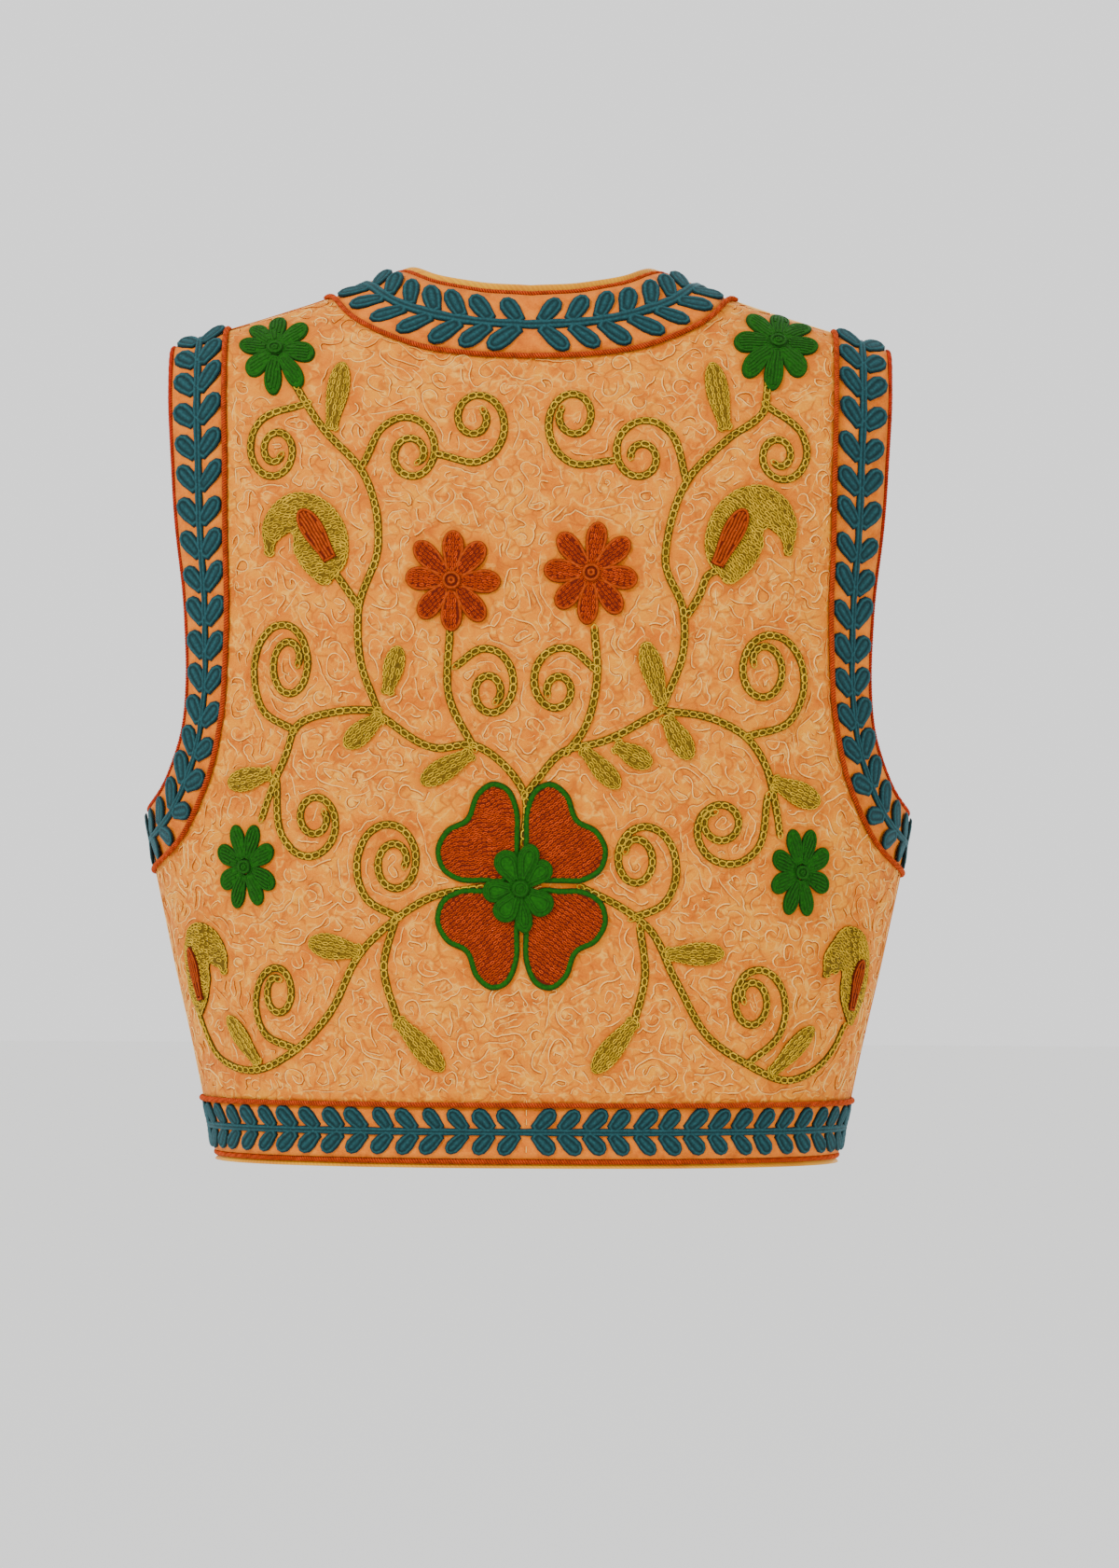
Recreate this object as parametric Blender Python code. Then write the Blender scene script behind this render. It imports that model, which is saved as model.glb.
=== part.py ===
"""Embroidered waistcoat, worn: an open-fronted, sleeveless folk garment that keeps the wearer's form.

Every piece of cloth is a wall laid on one form, which stands for the worn shape. The form is read in cloth
coordinates, in millimetres: s runs round the body from the centre back or the centre front, and level runs
up the cloth, which is height below the shoulders and distance along the cloth where it rolls over them.
+Z is up, +Y is the wearer's front, +X the wearer's right. The origin is on the shoulders, midway between
them.
"""

from collections import namedtuple

import bmesh
import bpy
import numpy as np

MM = 0.001

# The cloth and its trims.
CLOTH_HALF = 1.1  # outer cloth, stitched ground and lining together are 2.2 thick
SEAM_HALF_GAP = 0.15  # two pieces stand 0.3 apart at their seam
LIFT = 0.35  # what lies on a panel is clear of it
CORD_RADIUS = 1.15
LINING_THICK = 1.1
LINING_FACE = -CORD_RADIUS - 1.0  # its outer face stands this far in from the middle of the cloth
LINING_SHOWS = 2.2  # how far the lining's rolled edge reaches past the edge cord
SPINE_HEIGHT = 0.9
LEAF_HEIGHT = 1.5
VALLEY_HEIGHT = 0.1
VALLEY_SHARE = 0.2  # where the leaves are highest and lowest, as a share of the band's width
LEAF_LEAN = 0.4  # how far a leaf leans along its band, as a share of the pitch

# The garment.
HEM_LEVEL = -454.5
HEM_BAND = 28.5
UNDERARM_SEAM_LEVEL = -302.0
NECK_X = 76.0
NECK_SEAM_X = 111.0
SHOULDER_SEAM_X = 164.5
NECK_BACK_LEVEL = 8.5
NECK_SEAM_BACK_LEVEL = -25.5
FRONT_EDGE_X = 3.0
FRONT_BAND = 32.0
V_NECK_LEVEL = -165.0
V_NECK_BOW = 1.25  # how the front edge leaves the centre: 1 is straight, more is rounder at its foot
V_NECK_SEAM_DROP = 12.0  # the band's seam starts to leave the centre this much lower than its edge
SHOULDER_BACK = 28.0  # the shoulder seams stand this far behind the line between the underarms
ROLL_HEIGHT = 56.0  # how far below the shoulder line the cloth starts to roll over
ROLL_LENGTH = 80.0  # length of cloth from there to the seam

# How finely the pieces are divided.
PANEL_ROWS = 28
SIDE_ROWS = 7
ARMHOLE_ROWS = PANEL_ROWS - SIDE_ROWS
NECK_STATIONS = 7
SHOULDER_COLUMNS = 3
FRONT_COLUMNS = 8
HEM_STATIONS = 16
FRONT_HEM_STATIONS = 14
HEM_BAND_STATIONS = 2

Section = namedtuple("Section", "level half_width back front")
SECTIONS = [
    Section(-480, 166.0, 113, 112),
    Section(-457, 170.0, 113, 114),
    Section(-400, 181.5, 111, 119),
    Section(-340, 195.0, 110, 124),
    Section(-270, 208.0, 113, 127),
    Section(-200, 209.0, 117, 124),
    Section(-140, 213.0, 115, 110),
    Section(-90, 222.0, 106, 90),
    Section(-40, 236.0, 91, 66),
    Section(0, 248.0, 80, 44),
    Section(70, 260.0, 74, 26),
]
RING_EXPONENT = 2.35  # a section is this squarer than an ellipse's 2
RING_RATIO = 0.58  # depth to width, for spacing points evenly round it
ROLL_RATIO = 0.86  # the same for the quarter ellipse by which the cloth rolls over the shoulder

ShoulderPoint = namedtuple("ShoulderPoint", "x height")
SHOULDER_LINE = [
    ShoulderPoint(0, 38),
    ShoulderPoint(40, 33),
    ShoulderPoint(76, 23),
    ShoulderPoint(111, 8.5),
    ShoulderPoint(138, -0.5),
    ShoulderPoint(164, -8.5),
    ShoulderPoint(193, -17),
    ShoulderPoint(260, -30),
]
ON_SHOULDER = 99.0  # stands for the shoulder line's own height
AT_SIDE = 999.0  # stands for the side line

EdgePoint = namedtuple("EdgePoint", "x height")
ARMHOLE_EDGE_BACK = [
    EdgePoint(193, ON_SHOULDER),
    EdgePoint(193, -60),
    EdgePoint(189.5, -115),
    EdgePoint(184, -165),
    EdgePoint(183, -200),
    EdgePoint(187, -232),
    EdgePoint(196.5, -256),
    EdgePoint(AT_SIDE, -271),
]
ARMHOLE_SEAM_BACK = [
    EdgePoint(SHOULDER_SEAM_X, ON_SHOULDER),
    EdgePoint(164, -60),
    EdgePoint(162.5, -120),
    EdgePoint(161.5, -180),
    EdgePoint(164, -220),
    EdgePoint(171, -252),
    EdgePoint(184, -281),
    EdgePoint(AT_SIDE, UNDERARM_SEAM_LEVEL),
]
ARMHOLE_EDGE_FRONT = [
    EdgePoint(AT_SIDE, -271),
    EdgePoint(192, -255),
    EdgePoint(177, -228),
    EdgePoint(170, -190),
    EdgePoint(172, -140),
    EdgePoint(183, -85),
    EdgePoint(193, ON_SHOULDER),
]
ARMHOLE_SEAM_FRONT = [
    EdgePoint(AT_SIDE, UNDERARM_SEAM_LEVEL),
    EdgePoint(178, -284),
    EdgePoint(157, -250),
    EdgePoint(146, -205),
    EdgePoint(146, -150),
    EdgePoint(155, -85),
    EdgePoint(SHOULDER_SEAM_X, ON_SHOULDER),
]
NECK_EDGE_BACK = [
    EdgePoint(0, NECK_BACK_LEVEL),
    EdgePoint(30, 11),
    EdgePoint(55, 17),
    EdgePoint(NECK_X, ON_SHOULDER),
]
NECK_SEAM_BACK = [
    EdgePoint(0, NECK_SEAM_BACK_LEVEL),
    EdgePoint(34, -24),
    EdgePoint(65, -18.5),
    EdgePoint(94, -5),
    EdgePoint(NECK_SEAM_X, ON_SHOULDER),
]

# Applied motifs on the back: place of the middle, half its width and height, its turn, and how far it stands clear.
Motif = namedtuple("Motif", "name x height across up turn lift")
DAISIES = [
    Motif("green_daisy_shoulder_left", -137.0, -21.5, 20.0, 28.0, 33, 1.2),
    Motif("green_daisy_shoulder_right", 133.0, -16.0, 22.0, 31.0, 0, 1.2),
    Motif("orange_daisy_left", -41.0, -147.0, 25.5, 28.5, 0, 0.5),
    Motif("orange_daisy_right", 33.0, -142.5, 25.0, 28.5, 41, 0.5),
    Motif("green_daisy_side_left", -150.6, -299.5, 19.0, 24.5, 23, 0.8),
    Motif("green_daisy_side_right", 145.9, -301.0, 19.0, 25.0, 23, 0.8),
]
PETALS = [
    Motif("big_petal_upper_left", -3.0, -309.0, 47.4, 58.5, 135, 0.5),
    Motif("big_petal_upper_right", -3.0, -309.0, 47.4, 58.5, 45, 0.5),
    Motif("big_petal_lower_left", -3.0, -309.0, 47.8, 59.0, 225, 0.5),
    Motif("big_petal_lower_right", -3.0, -309.0, 47.8, 59.0, 315, 0.5),
]
FLOWER_HEART = Motif("big_flower_heart", -4.0, -310.5, 19.5, 24.0, 180, 2.3)
HEART_LOBES = 7
# Paisleys: curl is 1 for one that curls to the left, -1 to the right, and the tail is drawn up by a share.
Paisley = namedtuple("Paisley", "name x height across up curl tail lift")
PAISLEYS = [
    Paisley("paisley_upper_left", -113.5, -124.5, 25.2, 25.2, 1, 0.0, 0.5),
    Paisley("paisley_upper_right", 112.0, -121.0, 26.5, 27.0, -1, -0.05, 0.5),
    Paisley("paisley_side_left", -177.5, -355.0, 22.0, 25.5, -1, 0.25, 0.7),
    Paisley("paisley_side_right", 175.5, -357.0, 22.0, 27.0, 1, 0.33, 0.7),
]
# One petal of the big flower, from its root round one of its two lobes to the notch between them.
PetalPoint = namedtuple("PetalPoint", "angle reach")
PETAL = [
    PetalPoint(34, 0.2),
    PetalPoint(39, 0.42),
    PetalPoint(40, 0.7),
    PetalPoint(35, 0.91),
    PetalPoint(26, 1.0),
    PetalPoint(15, 0.98),
    PetalPoint(6, 0.9),
]
# A paisley that curls to the left: its two rims, rung by rung from its foot over the top to its hook's tip.
Rung = namedtuple("Rung", "outer_x outer_y inner_x inner_y")
PAISLEY = [
    Rung(0.25, -0.95, 0.05, -0.98),
    Rung(0.62, -0.50, -0.32, -0.62),
    Rung(0.68, 0.00, -0.50, -0.20),
    Rung(0.52, 0.50, -0.50, 0.10),
    Rung(0.10, 0.90, -0.56, 0.14),
    Rung(-0.40, 0.98, -0.64, 0.10),
    Rung(-0.85, 0.75, -0.72, 0.05),
    Rung(-1.15, 0.30, -0.85, -0.05),
    Rung(-1.12, -0.35, -0.98, -0.36),
]
MOTIF_HEIGHT = 1.4
MOTIF_SHOULDER = 0.82  # the padding rises to this share of its outline and of its height, then crowns
NOTCH_DEPTH = 0.22  # a daisy's outline swings this much of its radius either way

Paint = namedtuple("Paint", "red green blue roughness")
PAINTS = {
    "ground_cloth": Paint(0.80, 0.42, 0.16, 0.85),
    "border_cloth": Paint(0.78, 0.36, 0.10, 0.85),
    "edge_cord": Paint(0.62, 0.15, 0.02, 0.80),
    "lining": Paint(0.90, 0.55, 0.04, 0.60),
    "orange_wool": Paint(0.65, 0.15, 0.02, 0.85),
    "green_wool": Paint(0.03, 0.20, 0.02, 0.85),
    "olive_wool": Paint(0.36, 0.28, 0.05, 0.85),
}


def clear_scene():
    for thing in list(bpy.data.objects):
        bpy.data.objects.remove(thing)


def material(name):
    made = bpy.data.materials.get(name)
    if made is None:
        paint = PAINTS[name]
        made = bpy.data.materials.new(name)
        made.use_nodes = True
        shader = made.node_tree.nodes["Principled BSDF"]
        shader.inputs["Base Color"].default_value = (paint.red, paint.green, paint.blue, 1)
        shader.inputs["Roughness"].default_value = paint.roughness
        shader.inputs["Metallic"].default_value = 0.0
    return made


# ---- the form that the cloth lies on


def column(table, name):
    return np.array([getattr(row, name) for row in table], float)


def smooth(at, x, y):
    """A cubic through the values y at x, with the slopes of a Catmull-Rom spline."""
    at, slope = np.asarray(at, float), np.gradient(y, x)
    i = np.clip(np.searchsorted(x, at) - 1, 0, len(x) - 2)
    width = x[i + 1] - x[i]
    t = np.clip((at - x[i]) / width, 0, 1)
    rise, run = t * t * (3 - 2 * t), t * (1 - t)
    bend = width * run * ((1 - t) * slope[i] - t * slope[i + 1])
    return y[i] + (y[i + 1] - y[i]) * rise + bend


def quarter_arc(exponent, ratio, samples=1200):
    """A quarter superellipse from its top round to its side, spaced by length: (share, across, along)."""
    angle = np.linspace(0, np.pi / 2, samples)
    across, along = np.sin(angle) ** (2 / exponent), np.cos(angle) ** (2 / exponent)
    step = np.hypot(np.diff(across), ratio * np.diff(along))
    share = np.concatenate([[0], np.cumsum(step)])
    return share / share[-1], across, along


RING_SHARE, RING_ACROSS, RING_ALONG = quarter_arc(RING_EXPONENT, RING_RATIO)
ROLL_SHARE, ROLL_UP, ROLL_IN = quarter_arc(2.0, ROLL_RATIO)


def section(name, level):
    return smooth(level, column(SECTIONS, "level"), column(SECTIONS, name))


def shoulder_height(x):
    return smooth(np.abs(x), column(SHOULDER_LINE, "x"), column(SHOULDER_LINE, "height"))


def side_length(side, level):
    """Length of cloth from the centre back, or centre front, round to the side line at a level."""
    wide, deep = section("half_width", level), section(side, level)
    across = np.multiply.outer(wide, np.diff(RING_ACROSS))
    along = np.multiply.outer(deep, np.diff(RING_ALONG))
    return np.hypot(across, along).sum(axis=-1)


def form(side, s, level):
    """Points of the cloth's middle, in millimetres, s round from the centre of that side."""
    s, level = np.broadcast_arrays(np.asarray(s, float), np.asarray(level, float))
    share = np.abs(s) / side_length(side, level)
    x = np.sign(s) * section("half_width", level) * np.interp(share, RING_SHARE, RING_ACROSS)
    towards = -1 if side == "back" else 1
    y = towards * section(side, level) * np.interp(share, RING_SHARE, RING_ALONG)
    roll_from = shoulder_height(x) - ROLL_HEIGHT
    rolled = np.clip((level - roll_from) / ROLL_LENGTH, 0, 1)
    z = np.where(rolled > 0, roll_from + ROLL_HEIGHT * np.interp(rolled, ROLL_SHARE, ROLL_UP), level)
    y = (y + SHOULDER_BACK) * np.interp(rolled, ROLL_SHARE, ROLL_IN)
    return np.stack([x, y, z], axis=-1)


def cloth(side, s, level, out=0.0, step=0.2):
    """Points of the cloth moved out along its normal by that distance, in millimetres."""
    s, level, out = np.broadcast_arrays(np.asarray(s, float), level, out)
    around = form(side, s + step, level) - form(side, s - step, level)
    up = form(side, s, level + step) - form(side, s, level - step)
    normal = np.cross(around, up) if side == "back" else np.cross(up, around)
    normal /= np.linalg.norm(normal, axis=-1, keepdims=True)
    return form(side, s, level) + normal * out[..., None]


def lay(side, x, height):
    """Cloth coordinates of a place given by its x and its height."""
    roll_from = shoulder_height(x) - ROLL_HEIGHT
    risen = np.clip((height - roll_from) / ROLL_HEIGHT, 0, 1)
    level = roll_from + ROLL_LENGTH * np.interp(risen, ROLL_UP, ROLL_SHARE) if risen > 0 else height
    wide = float(section("half_width", level))
    share = np.interp(min(abs(x) / wide, 1.0), RING_ACROSS, RING_SHARE)
    return np.sign(x) * share * float(side_length(side, level)), float(level)


# ---- curves on the cloth


def unit(v):
    return v / np.linalg.norm(v, axis=-1, keepdims=True)


def even(points, count):
    """Points along a polyline, evenly spaced, count + 1 of them."""
    points = np.asarray(points, float)
    step = np.linalg.norm(np.diff(points, axis=0), axis=1)
    along = np.concatenate([[0], np.cumsum(step)])
    at = np.linspace(0, along[-1], count + 1)
    return np.stack([np.interp(at, along, points[:, k]) for k in range(2)], axis=1)


def curve_through(points, fine=400):
    """A smooth curve through a few points in cloth coordinates."""
    points = np.asarray(points, float)
    step = np.linalg.norm(np.diff(points, axis=0), axis=1)
    along = np.concatenate([[0], np.cumsum(step)])
    at = np.linspace(0, along[-1], fine)
    return np.stack([smooth(at, along, points[:, k]) for k in range(2)], axis=1)


def armhole_curve(back_rows, front_rows):
    """The armhole's back and front halves, from the shoulder round under the arm, in cloth coordinates."""
    from_side = []
    for side, rows in (("back", back_rows), ("front", front_rows[1:])):
        for row in rows:
            x = min(row.x, float(section("half_width", min(row.height, 0))))
            s, level = lay(side, x, min(row.height, float(shoulder_height(x))))
            short = float(side_length(side, level)) - s
            from_side.append((-short if side == "back" else short, level))
    whole = curve_through(from_side)
    under = int(np.argmin(np.abs(whole[:, 0])))
    whole[under, 0] = 0.0
    halves = {}
    for side, part in (("back", whole[: under + 1]), ("front", whole[under:])):
        laid = np.stack([side_length(side, part[:, 1]) - np.abs(part[:, 0]), part[:, 1]], axis=1)
        halves[side] = even(laid, ARMHOLE_ROWS)
    halves["front"] = halves["front"][::-1]
    return halves


def neck_curve(rows):
    laid = [lay("back", row.x, min(row.height, float(shoulder_height(row.x)))) for row in rows]
    return even(curve_through(laid), NECK_STATIONS)


def front_curve(offset, top_x, v_level):
    """The front edge, or a line beside it, from the hem up to the shoulder, on the front's own cloth."""
    top = lay("front", top_x, float(shoulder_height(top_x)))
    start = FRONT_EDGE_X + offset
    rise = np.linspace(0, 1, 200)
    level = v_level + (top[1] - v_level) * rise
    curved = np.stack([start + (top[0] - start) * rise**V_NECK_BOW, level], axis=1)
    straight_level = HEM_LEVEL + HEM_BAND
    below = even([(start, HEM_LEVEL), (start, straight_level)], HEM_BAND_STATIONS)
    upper = np.concatenate([[(start, straight_level)], curved])
    return np.concatenate([below, even(upper, PANEL_ROWS)[1:]])


# ---- solids


def finish(name, mesh_builder, paint, collection):
    mesh = bpy.data.meshes.new(name)
    bmesh.ops.recalc_face_normals(mesh_builder, faces=mesh_builder.faces)
    mesh_builder.to_mesh(mesh)
    mesh_builder.free()
    mesh.materials.append(material(paint))
    mesh.shade_smooth()
    mesh.set_sharp_from_angle(angle=0.7)
    made = bpy.data.objects.new(name, mesh)
    collection.objects.link(made)
    return made


def place(builder, points, mirrored):
    """Vertices at points given in millimetres, on the left if mirrored."""
    flip = np.array([-MM if mirrored else MM, MM, MM])
    flat = (np.asarray(points) * flip).reshape(-1, 3)
    return [builder.verts.new(p) for p in flat]


def wall(name, outer, inner, paint, collection, mirrored=False):
    """A closed wall between two skins. Its rims follow the form's normals, to meet its neighbours square."""
    rows, columns = outer.shape[:2]
    builder = bmesh.new()
    out = np.array(place(builder, outer, mirrored), object).reshape(rows, columns)
    inn = np.array(place(builder, inner, mirrored), object).reshape(rows, columns)
    for skin in (out, inn):
        for i in range(rows - 1):
            for j in range(columns - 1):
                builder.faces.new((skin[i, j], skin[i, j + 1], skin[i + 1, j + 1], skin[i + 1, j]))
    rim_out = [*out[0, :-1], *out[:-1, -1], *out[-1, :0:-1], *out[:0:-1, 0]]
    rim_in = [*inn[0, :-1], *inn[:-1, -1], *inn[-1, :0:-1], *inn[:0:-1, 0]]
    for k in range(len(rim_out)):
        builder.faces.new((rim_out[k - 1], rim_out[k], rim_in[k], rim_in[k - 1]))
    return finish(name, builder, paint, collection)


EDGES = {
    "bottom": (np.s_[0], np.s_[1]),
    "top": (np.s_[-1], np.s_[-2]),
    "near": (np.s_[:, 0], np.s_[:, 1]),
    "far": (np.s_[:, -1], np.s_[:, -2]),
}


def inset(grid, edges):
    """The grid with its named edges drawn in, square to themselves, by half the gap of a seam."""
    moved = grid.copy()
    for here, inside in (EDGES[name] for name in edges):
        along = np.gradient(grid[here], axis=0)
        square = unit(np.stack([-along[:, 1], along[:, 0]], axis=1))
        inwards = np.sign((square * (grid[inside] - grid[here])).sum())
        moved[here] += inwards * SEAM_HALF_GAP * square
    return moved


def patch(bottom, top, near, far):
    """A four-sided patch between its edges, rows from bottom to top."""
    v = np.linspace(0, 1, len(near))[:, None, None]
    u = np.linspace(0, 1, len(bottom))[None, :, None]
    between = (1 - v) * bottom[None] + v * top[None] + (1 - u) * near[:, None] + u * far[:, None]
    corners = (1 - u) * (1 - v) * bottom[0] + u * (1 - v) * bottom[-1]
    return between - corners - (1 - u) * v * top[0] - u * v * top[-1]


def panel(name, side, grid, collection, mirrored=False):
    skins = [cloth(side, grid[..., 0], grid[..., 1], out) for out in (CLOTH_HALF, -CLOTH_HALF)]
    return wall(name, *skins, "ground_cloth", collection, mirrored)


def side_seam(side):
    level = np.linspace(HEM_LEVEL + HEM_BAND, UNDERARM_SEAM_LEVEL, SIDE_ROWS + 1)
    return np.stack([side_length(side, level), level], axis=1)


def hem_seam(side, start, columns):
    level = HEM_LEVEL + HEM_BAND
    s = np.linspace(start, float(side_length(side, level)), columns + 1)
    return np.stack([s, np.full(columns + 1, level)], axis=1)


def shoulder_seam(side, columns):
    x = np.linspace(NECK_SEAM_X, SHOULDER_SEAM_X, columns + 1)
    return np.array([lay(side, v, float(shoulder_height(v))) for v in x])


def back_panel(collection, armhole, neck_seam):
    far = np.concatenate([side_seam("back"), armhole["back"][::-1][1:]])
    top = np.concatenate([neck_seam, shoulder_seam("back", SHOULDER_COLUMNS)[1:]])
    level = np.linspace(HEM_LEVEL + HEM_BAND, top[0, 1], PANEL_ROWS + 1)
    near = np.stack([np.zeros(PANEL_ROWS + 1), level], axis=1)
    half = inset(patch(hem_seam("back", 0, len(top) - 1), top, near, far), ("bottom", "top", "far"))
    other = half[:, :0:-1] * (-1, 1)
    whole = np.concatenate([other, half], axis=1)
    panel("back_panel", "back", whole, collection)


def front_panel(name, collection, armhole, front_seam, mirrored):
    far = np.concatenate([side_seam("front"), armhole["front"][::-1][1:]])
    top = shoulder_seam("front", FRONT_COLUMNS)
    near = front_seam[HEM_BAND_STATIONS:]
    bottom = hem_seam("front", near[0, 0], FRONT_COLUMNS)
    grid = inset(patch(bottom, top, near, far), ("bottom", "top", "near", "far"))
    panel(name, "front", grid, collection, mirrored)


def strip_on(side, edge, seam):
    """Places points of a strip: t stations along it, share of the way from its edge to its seam."""
    seam = seam + unit(edge - seam) * SEAM_HALF_GAP

    def at(t, share, out):
        station = np.arange(float(len(edge)))
        line = edge + (seam - edge) * share
        return cloth(side, np.interp(t, station, line[:, 0]), np.interp(t, station, line[:, 1]), out)

    return at


def strip_round_armhole(edges, seams):
    """The same for the ring round an armhole, from the shoulder down the back and up the front."""
    behind = strip_on("back", edges["back"], seams["back"])
    before = strip_on("front", edges["front"][::-1], seams["front"][::-1])

    def at(t, share, out):
        t = np.asarray(t, float) % (2 * ARMHOLE_ROWS)
        on_back = (t <= ARMHOLE_ROWS)[:, None]
        return np.where(on_back, behind(t, share, out), before(t - ARMHOLE_ROWS, share, out))

    return at


def leaf_band(name, at, leans, collection, mirrored=False, closed=False):
    """A border strip with a raised spine down its middle and, between stations, a leaf each side of it.

    leans says for each station which way its leaves lean, from -1 to 1.
    """
    count = len(leans) - 1
    station = np.arange(count + 1.0)
    lean = leans * LEAF_LEAN
    mid_lean = 0.5 + LEAF_LEAN * (leans[:-1] + leans[1:]) / 2
    low, high = VALLEY_SHARE, 1 - VALLEY_SHARE
    builder = bmesh.new()

    def row(share, shift, out):
        made = place(builder, at(station + shift, share, out)[: count if closed else None], mirrored)
        return made + made[:1] if closed else made

    # The relief dies away at an end that is sewn to another piece.
    whole, still, top = np.full(count + 1, 1.0), np.zeros(count + 1), CLOTH_HALF
    if not closed:
        whole[[0, -1]] = 0
    rims = row(0.0, still, top), row(1.0, still, top)
    valleys = [row(share, lean, top + VALLEY_HEIGHT * whole) for share in (low, high)]
    spine = row(0.5, still, top + SPINE_HEIGHT * whole)
    inner = [row(share, still, -CLOTH_HALF) for share in (0.0, low, 0.5, high, 1.0)]
    middle = station[:-1] + mid_lean
    peaks = [place(builder, at(middle, share, top + LEAF_HEIGHT), mirrored) for share in (low, high)]
    half_way = place(builder, at(station[:-1] + 0.5, 0.5, top + SPINE_HEIGHT), mirrored)
    for k in range(count):
        n = k + 1
        for rim, valley, peak, under in zip(rims, valleys, peaks, (inner[0], inner[-1])):
            builder.faces.new((rim[k], valley[k], peak[k]))
            builder.faces.new((rim[k], peak[k], rim[n]))
            builder.faces.new((rim[n], peak[k], valley[n]))
            builder.faces.new((valley[k], spine[k], half_way[k]))
            builder.faces.new((valley[k], half_way[k], peak[k]))
            builder.faces.new((peak[k], half_way[k], valley[n]))
            builder.faces.new((half_way[k], spine[n], valley[n]))
            builder.faces.new((rim[k], rim[n], under[n], under[k]))
        for a, b in zip(inner, inner[1:]):
            builder.faces.new((a[k], a[n], b[n], b[k]))
    if not closed:
        lines = [rims[0], valleys[0], spine, valleys[1], rims[1]]
        for k in (0, count):
            for above, beneath in zip(zip(lines, lines[1:]), zip(inner, inner[1:])):
                builder.faces.new((above[0][k], above[1][k], beneath[1][k], beneath[0][k]))
    return finish(name, builder, "border_cloth", collection)


def open_ended(leans):
    """Leans for a strip whose end leaves stand straight."""
    leans[[0, -1]] = 0
    return leans


def cord(name, points, collection, mirrored=False, closed=False):
    """A twisted cord laid along points given in millimetres."""
    curve = bpy.data.curves.new(name, "CURVE")
    curve.dimensions = "3D"
    curve.bevel_depth = CORD_RADIUS * MM
    curve.bevel_resolution = 0
    curve.use_fill_caps = True
    spline = curve.splines.new("POLY")
    spline.points.add(len(points) - 1)
    flip = np.array([-MM if mirrored else MM, MM, MM])
    for knot, where in zip(spline.points, points * flip):
        knot.co = (*where, 1)
    spline.use_cyclic_u = closed
    curve.materials.append(material("edge_cord"))
    made = bpy.data.objects.new(name, curve)
    collection.objects.link(made)
    return made


ON_TOP = CLOTH_HALF + LIFT + CORD_RADIUS
PAST_EDGE = CORD_RADIUS + 2 * SEAM_HALF_GAP


def beyond(edge, seam, distance, share=0.0):
    """A line at a share of the way from a strip's edge to its seam, or that far past the edge."""
    return edge + (seam - edge) * share + unit(edge - seam) * np.asarray(distance, float).reshape(-1, 1)


def line_on(side, line, out):
    return cloth(side, line[:, 0], line[:, 1], out)


def both_sides(points):
    """A line from the centre outwards, with its mirror image before it."""
    flip = np.array([-1, 1, 1])[: points.shape[1]]
    return np.concatenate([points[:0:-1] * flip, points])


# ---- applied motifs


def applied(motif, across, up, paint, collection, height=MOTIF_HEIGHT):
    """A padded motif on the back: a flat underside, a raised rim inside its outline and a crowned middle."""
    s, level = lay("back", motif.x, motif.height)
    middle = across.mean(), up.mean()
    builder = bmesh.new()

    def ring(share, out):
        around = s + middle[0] + (across - middle[0]) * share
        rise = level + middle[1] + (up - middle[1]) * share
        return place(builder, cloth("back", around, rise, out), False)

    def point(out):
        return place(builder, cloth("back", s + middle[0], level + middle[1], out), False)[0]

    base = CLOTH_HALF + motif.lift
    rims = ring(1.0, base), ring(MOTIF_SHOULDER, base + height * MOTIF_SHOULDER), ring(0.5, base + height)
    half_under, below, crown = ring(0.5, base), point(base), point(base + height)
    for k in range(len(half_under)):
        for outer, inner in (*zip(rims, rims[1:]), (half_under, rims[0])):
            builder.faces.new((outer[k - 1], outer[k], inner[k], inner[k - 1]))
        builder.faces.new((rims[2][k - 1], rims[2][k], crown))
        builder.faces.new((half_under[k], half_under[k - 1], below))
    return finish(motif.name, builder, paint, collection)


def daisy(motif, paint, collection, petals=8, per_petal=4, height=MOTIF_HEIGHT):
    """Round the tips of the petals and into the notches between them."""
    angle = np.linspace(0, 2 * np.pi, petals * per_petal, endpoint=False)
    reach = 1 - NOTCH_DEPTH + NOTCH_DEPTH * np.cos(petals * angle)
    turned = angle + np.radians(motif.turn)
    across, up = motif.across * reach * np.cos(turned), motif.up * reach * np.sin(turned)
    return applied(motif, across, up, paint, collection, height)


def petal(motif, collection):
    """A petal with two lobes, its root towards the flower's heart."""
    one = [(row.angle, row.reach) for row in PETAL]
    angle, reach = np.array(one + [(-a, r) for a, r in one[::-1]]).T
    turned = np.radians(motif.turn + angle)
    across, up = motif.across * reach * np.cos(turned), motif.up * reach * np.sin(turned)
    return applied(motif, across, up, "orange_wool", collection)


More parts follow.
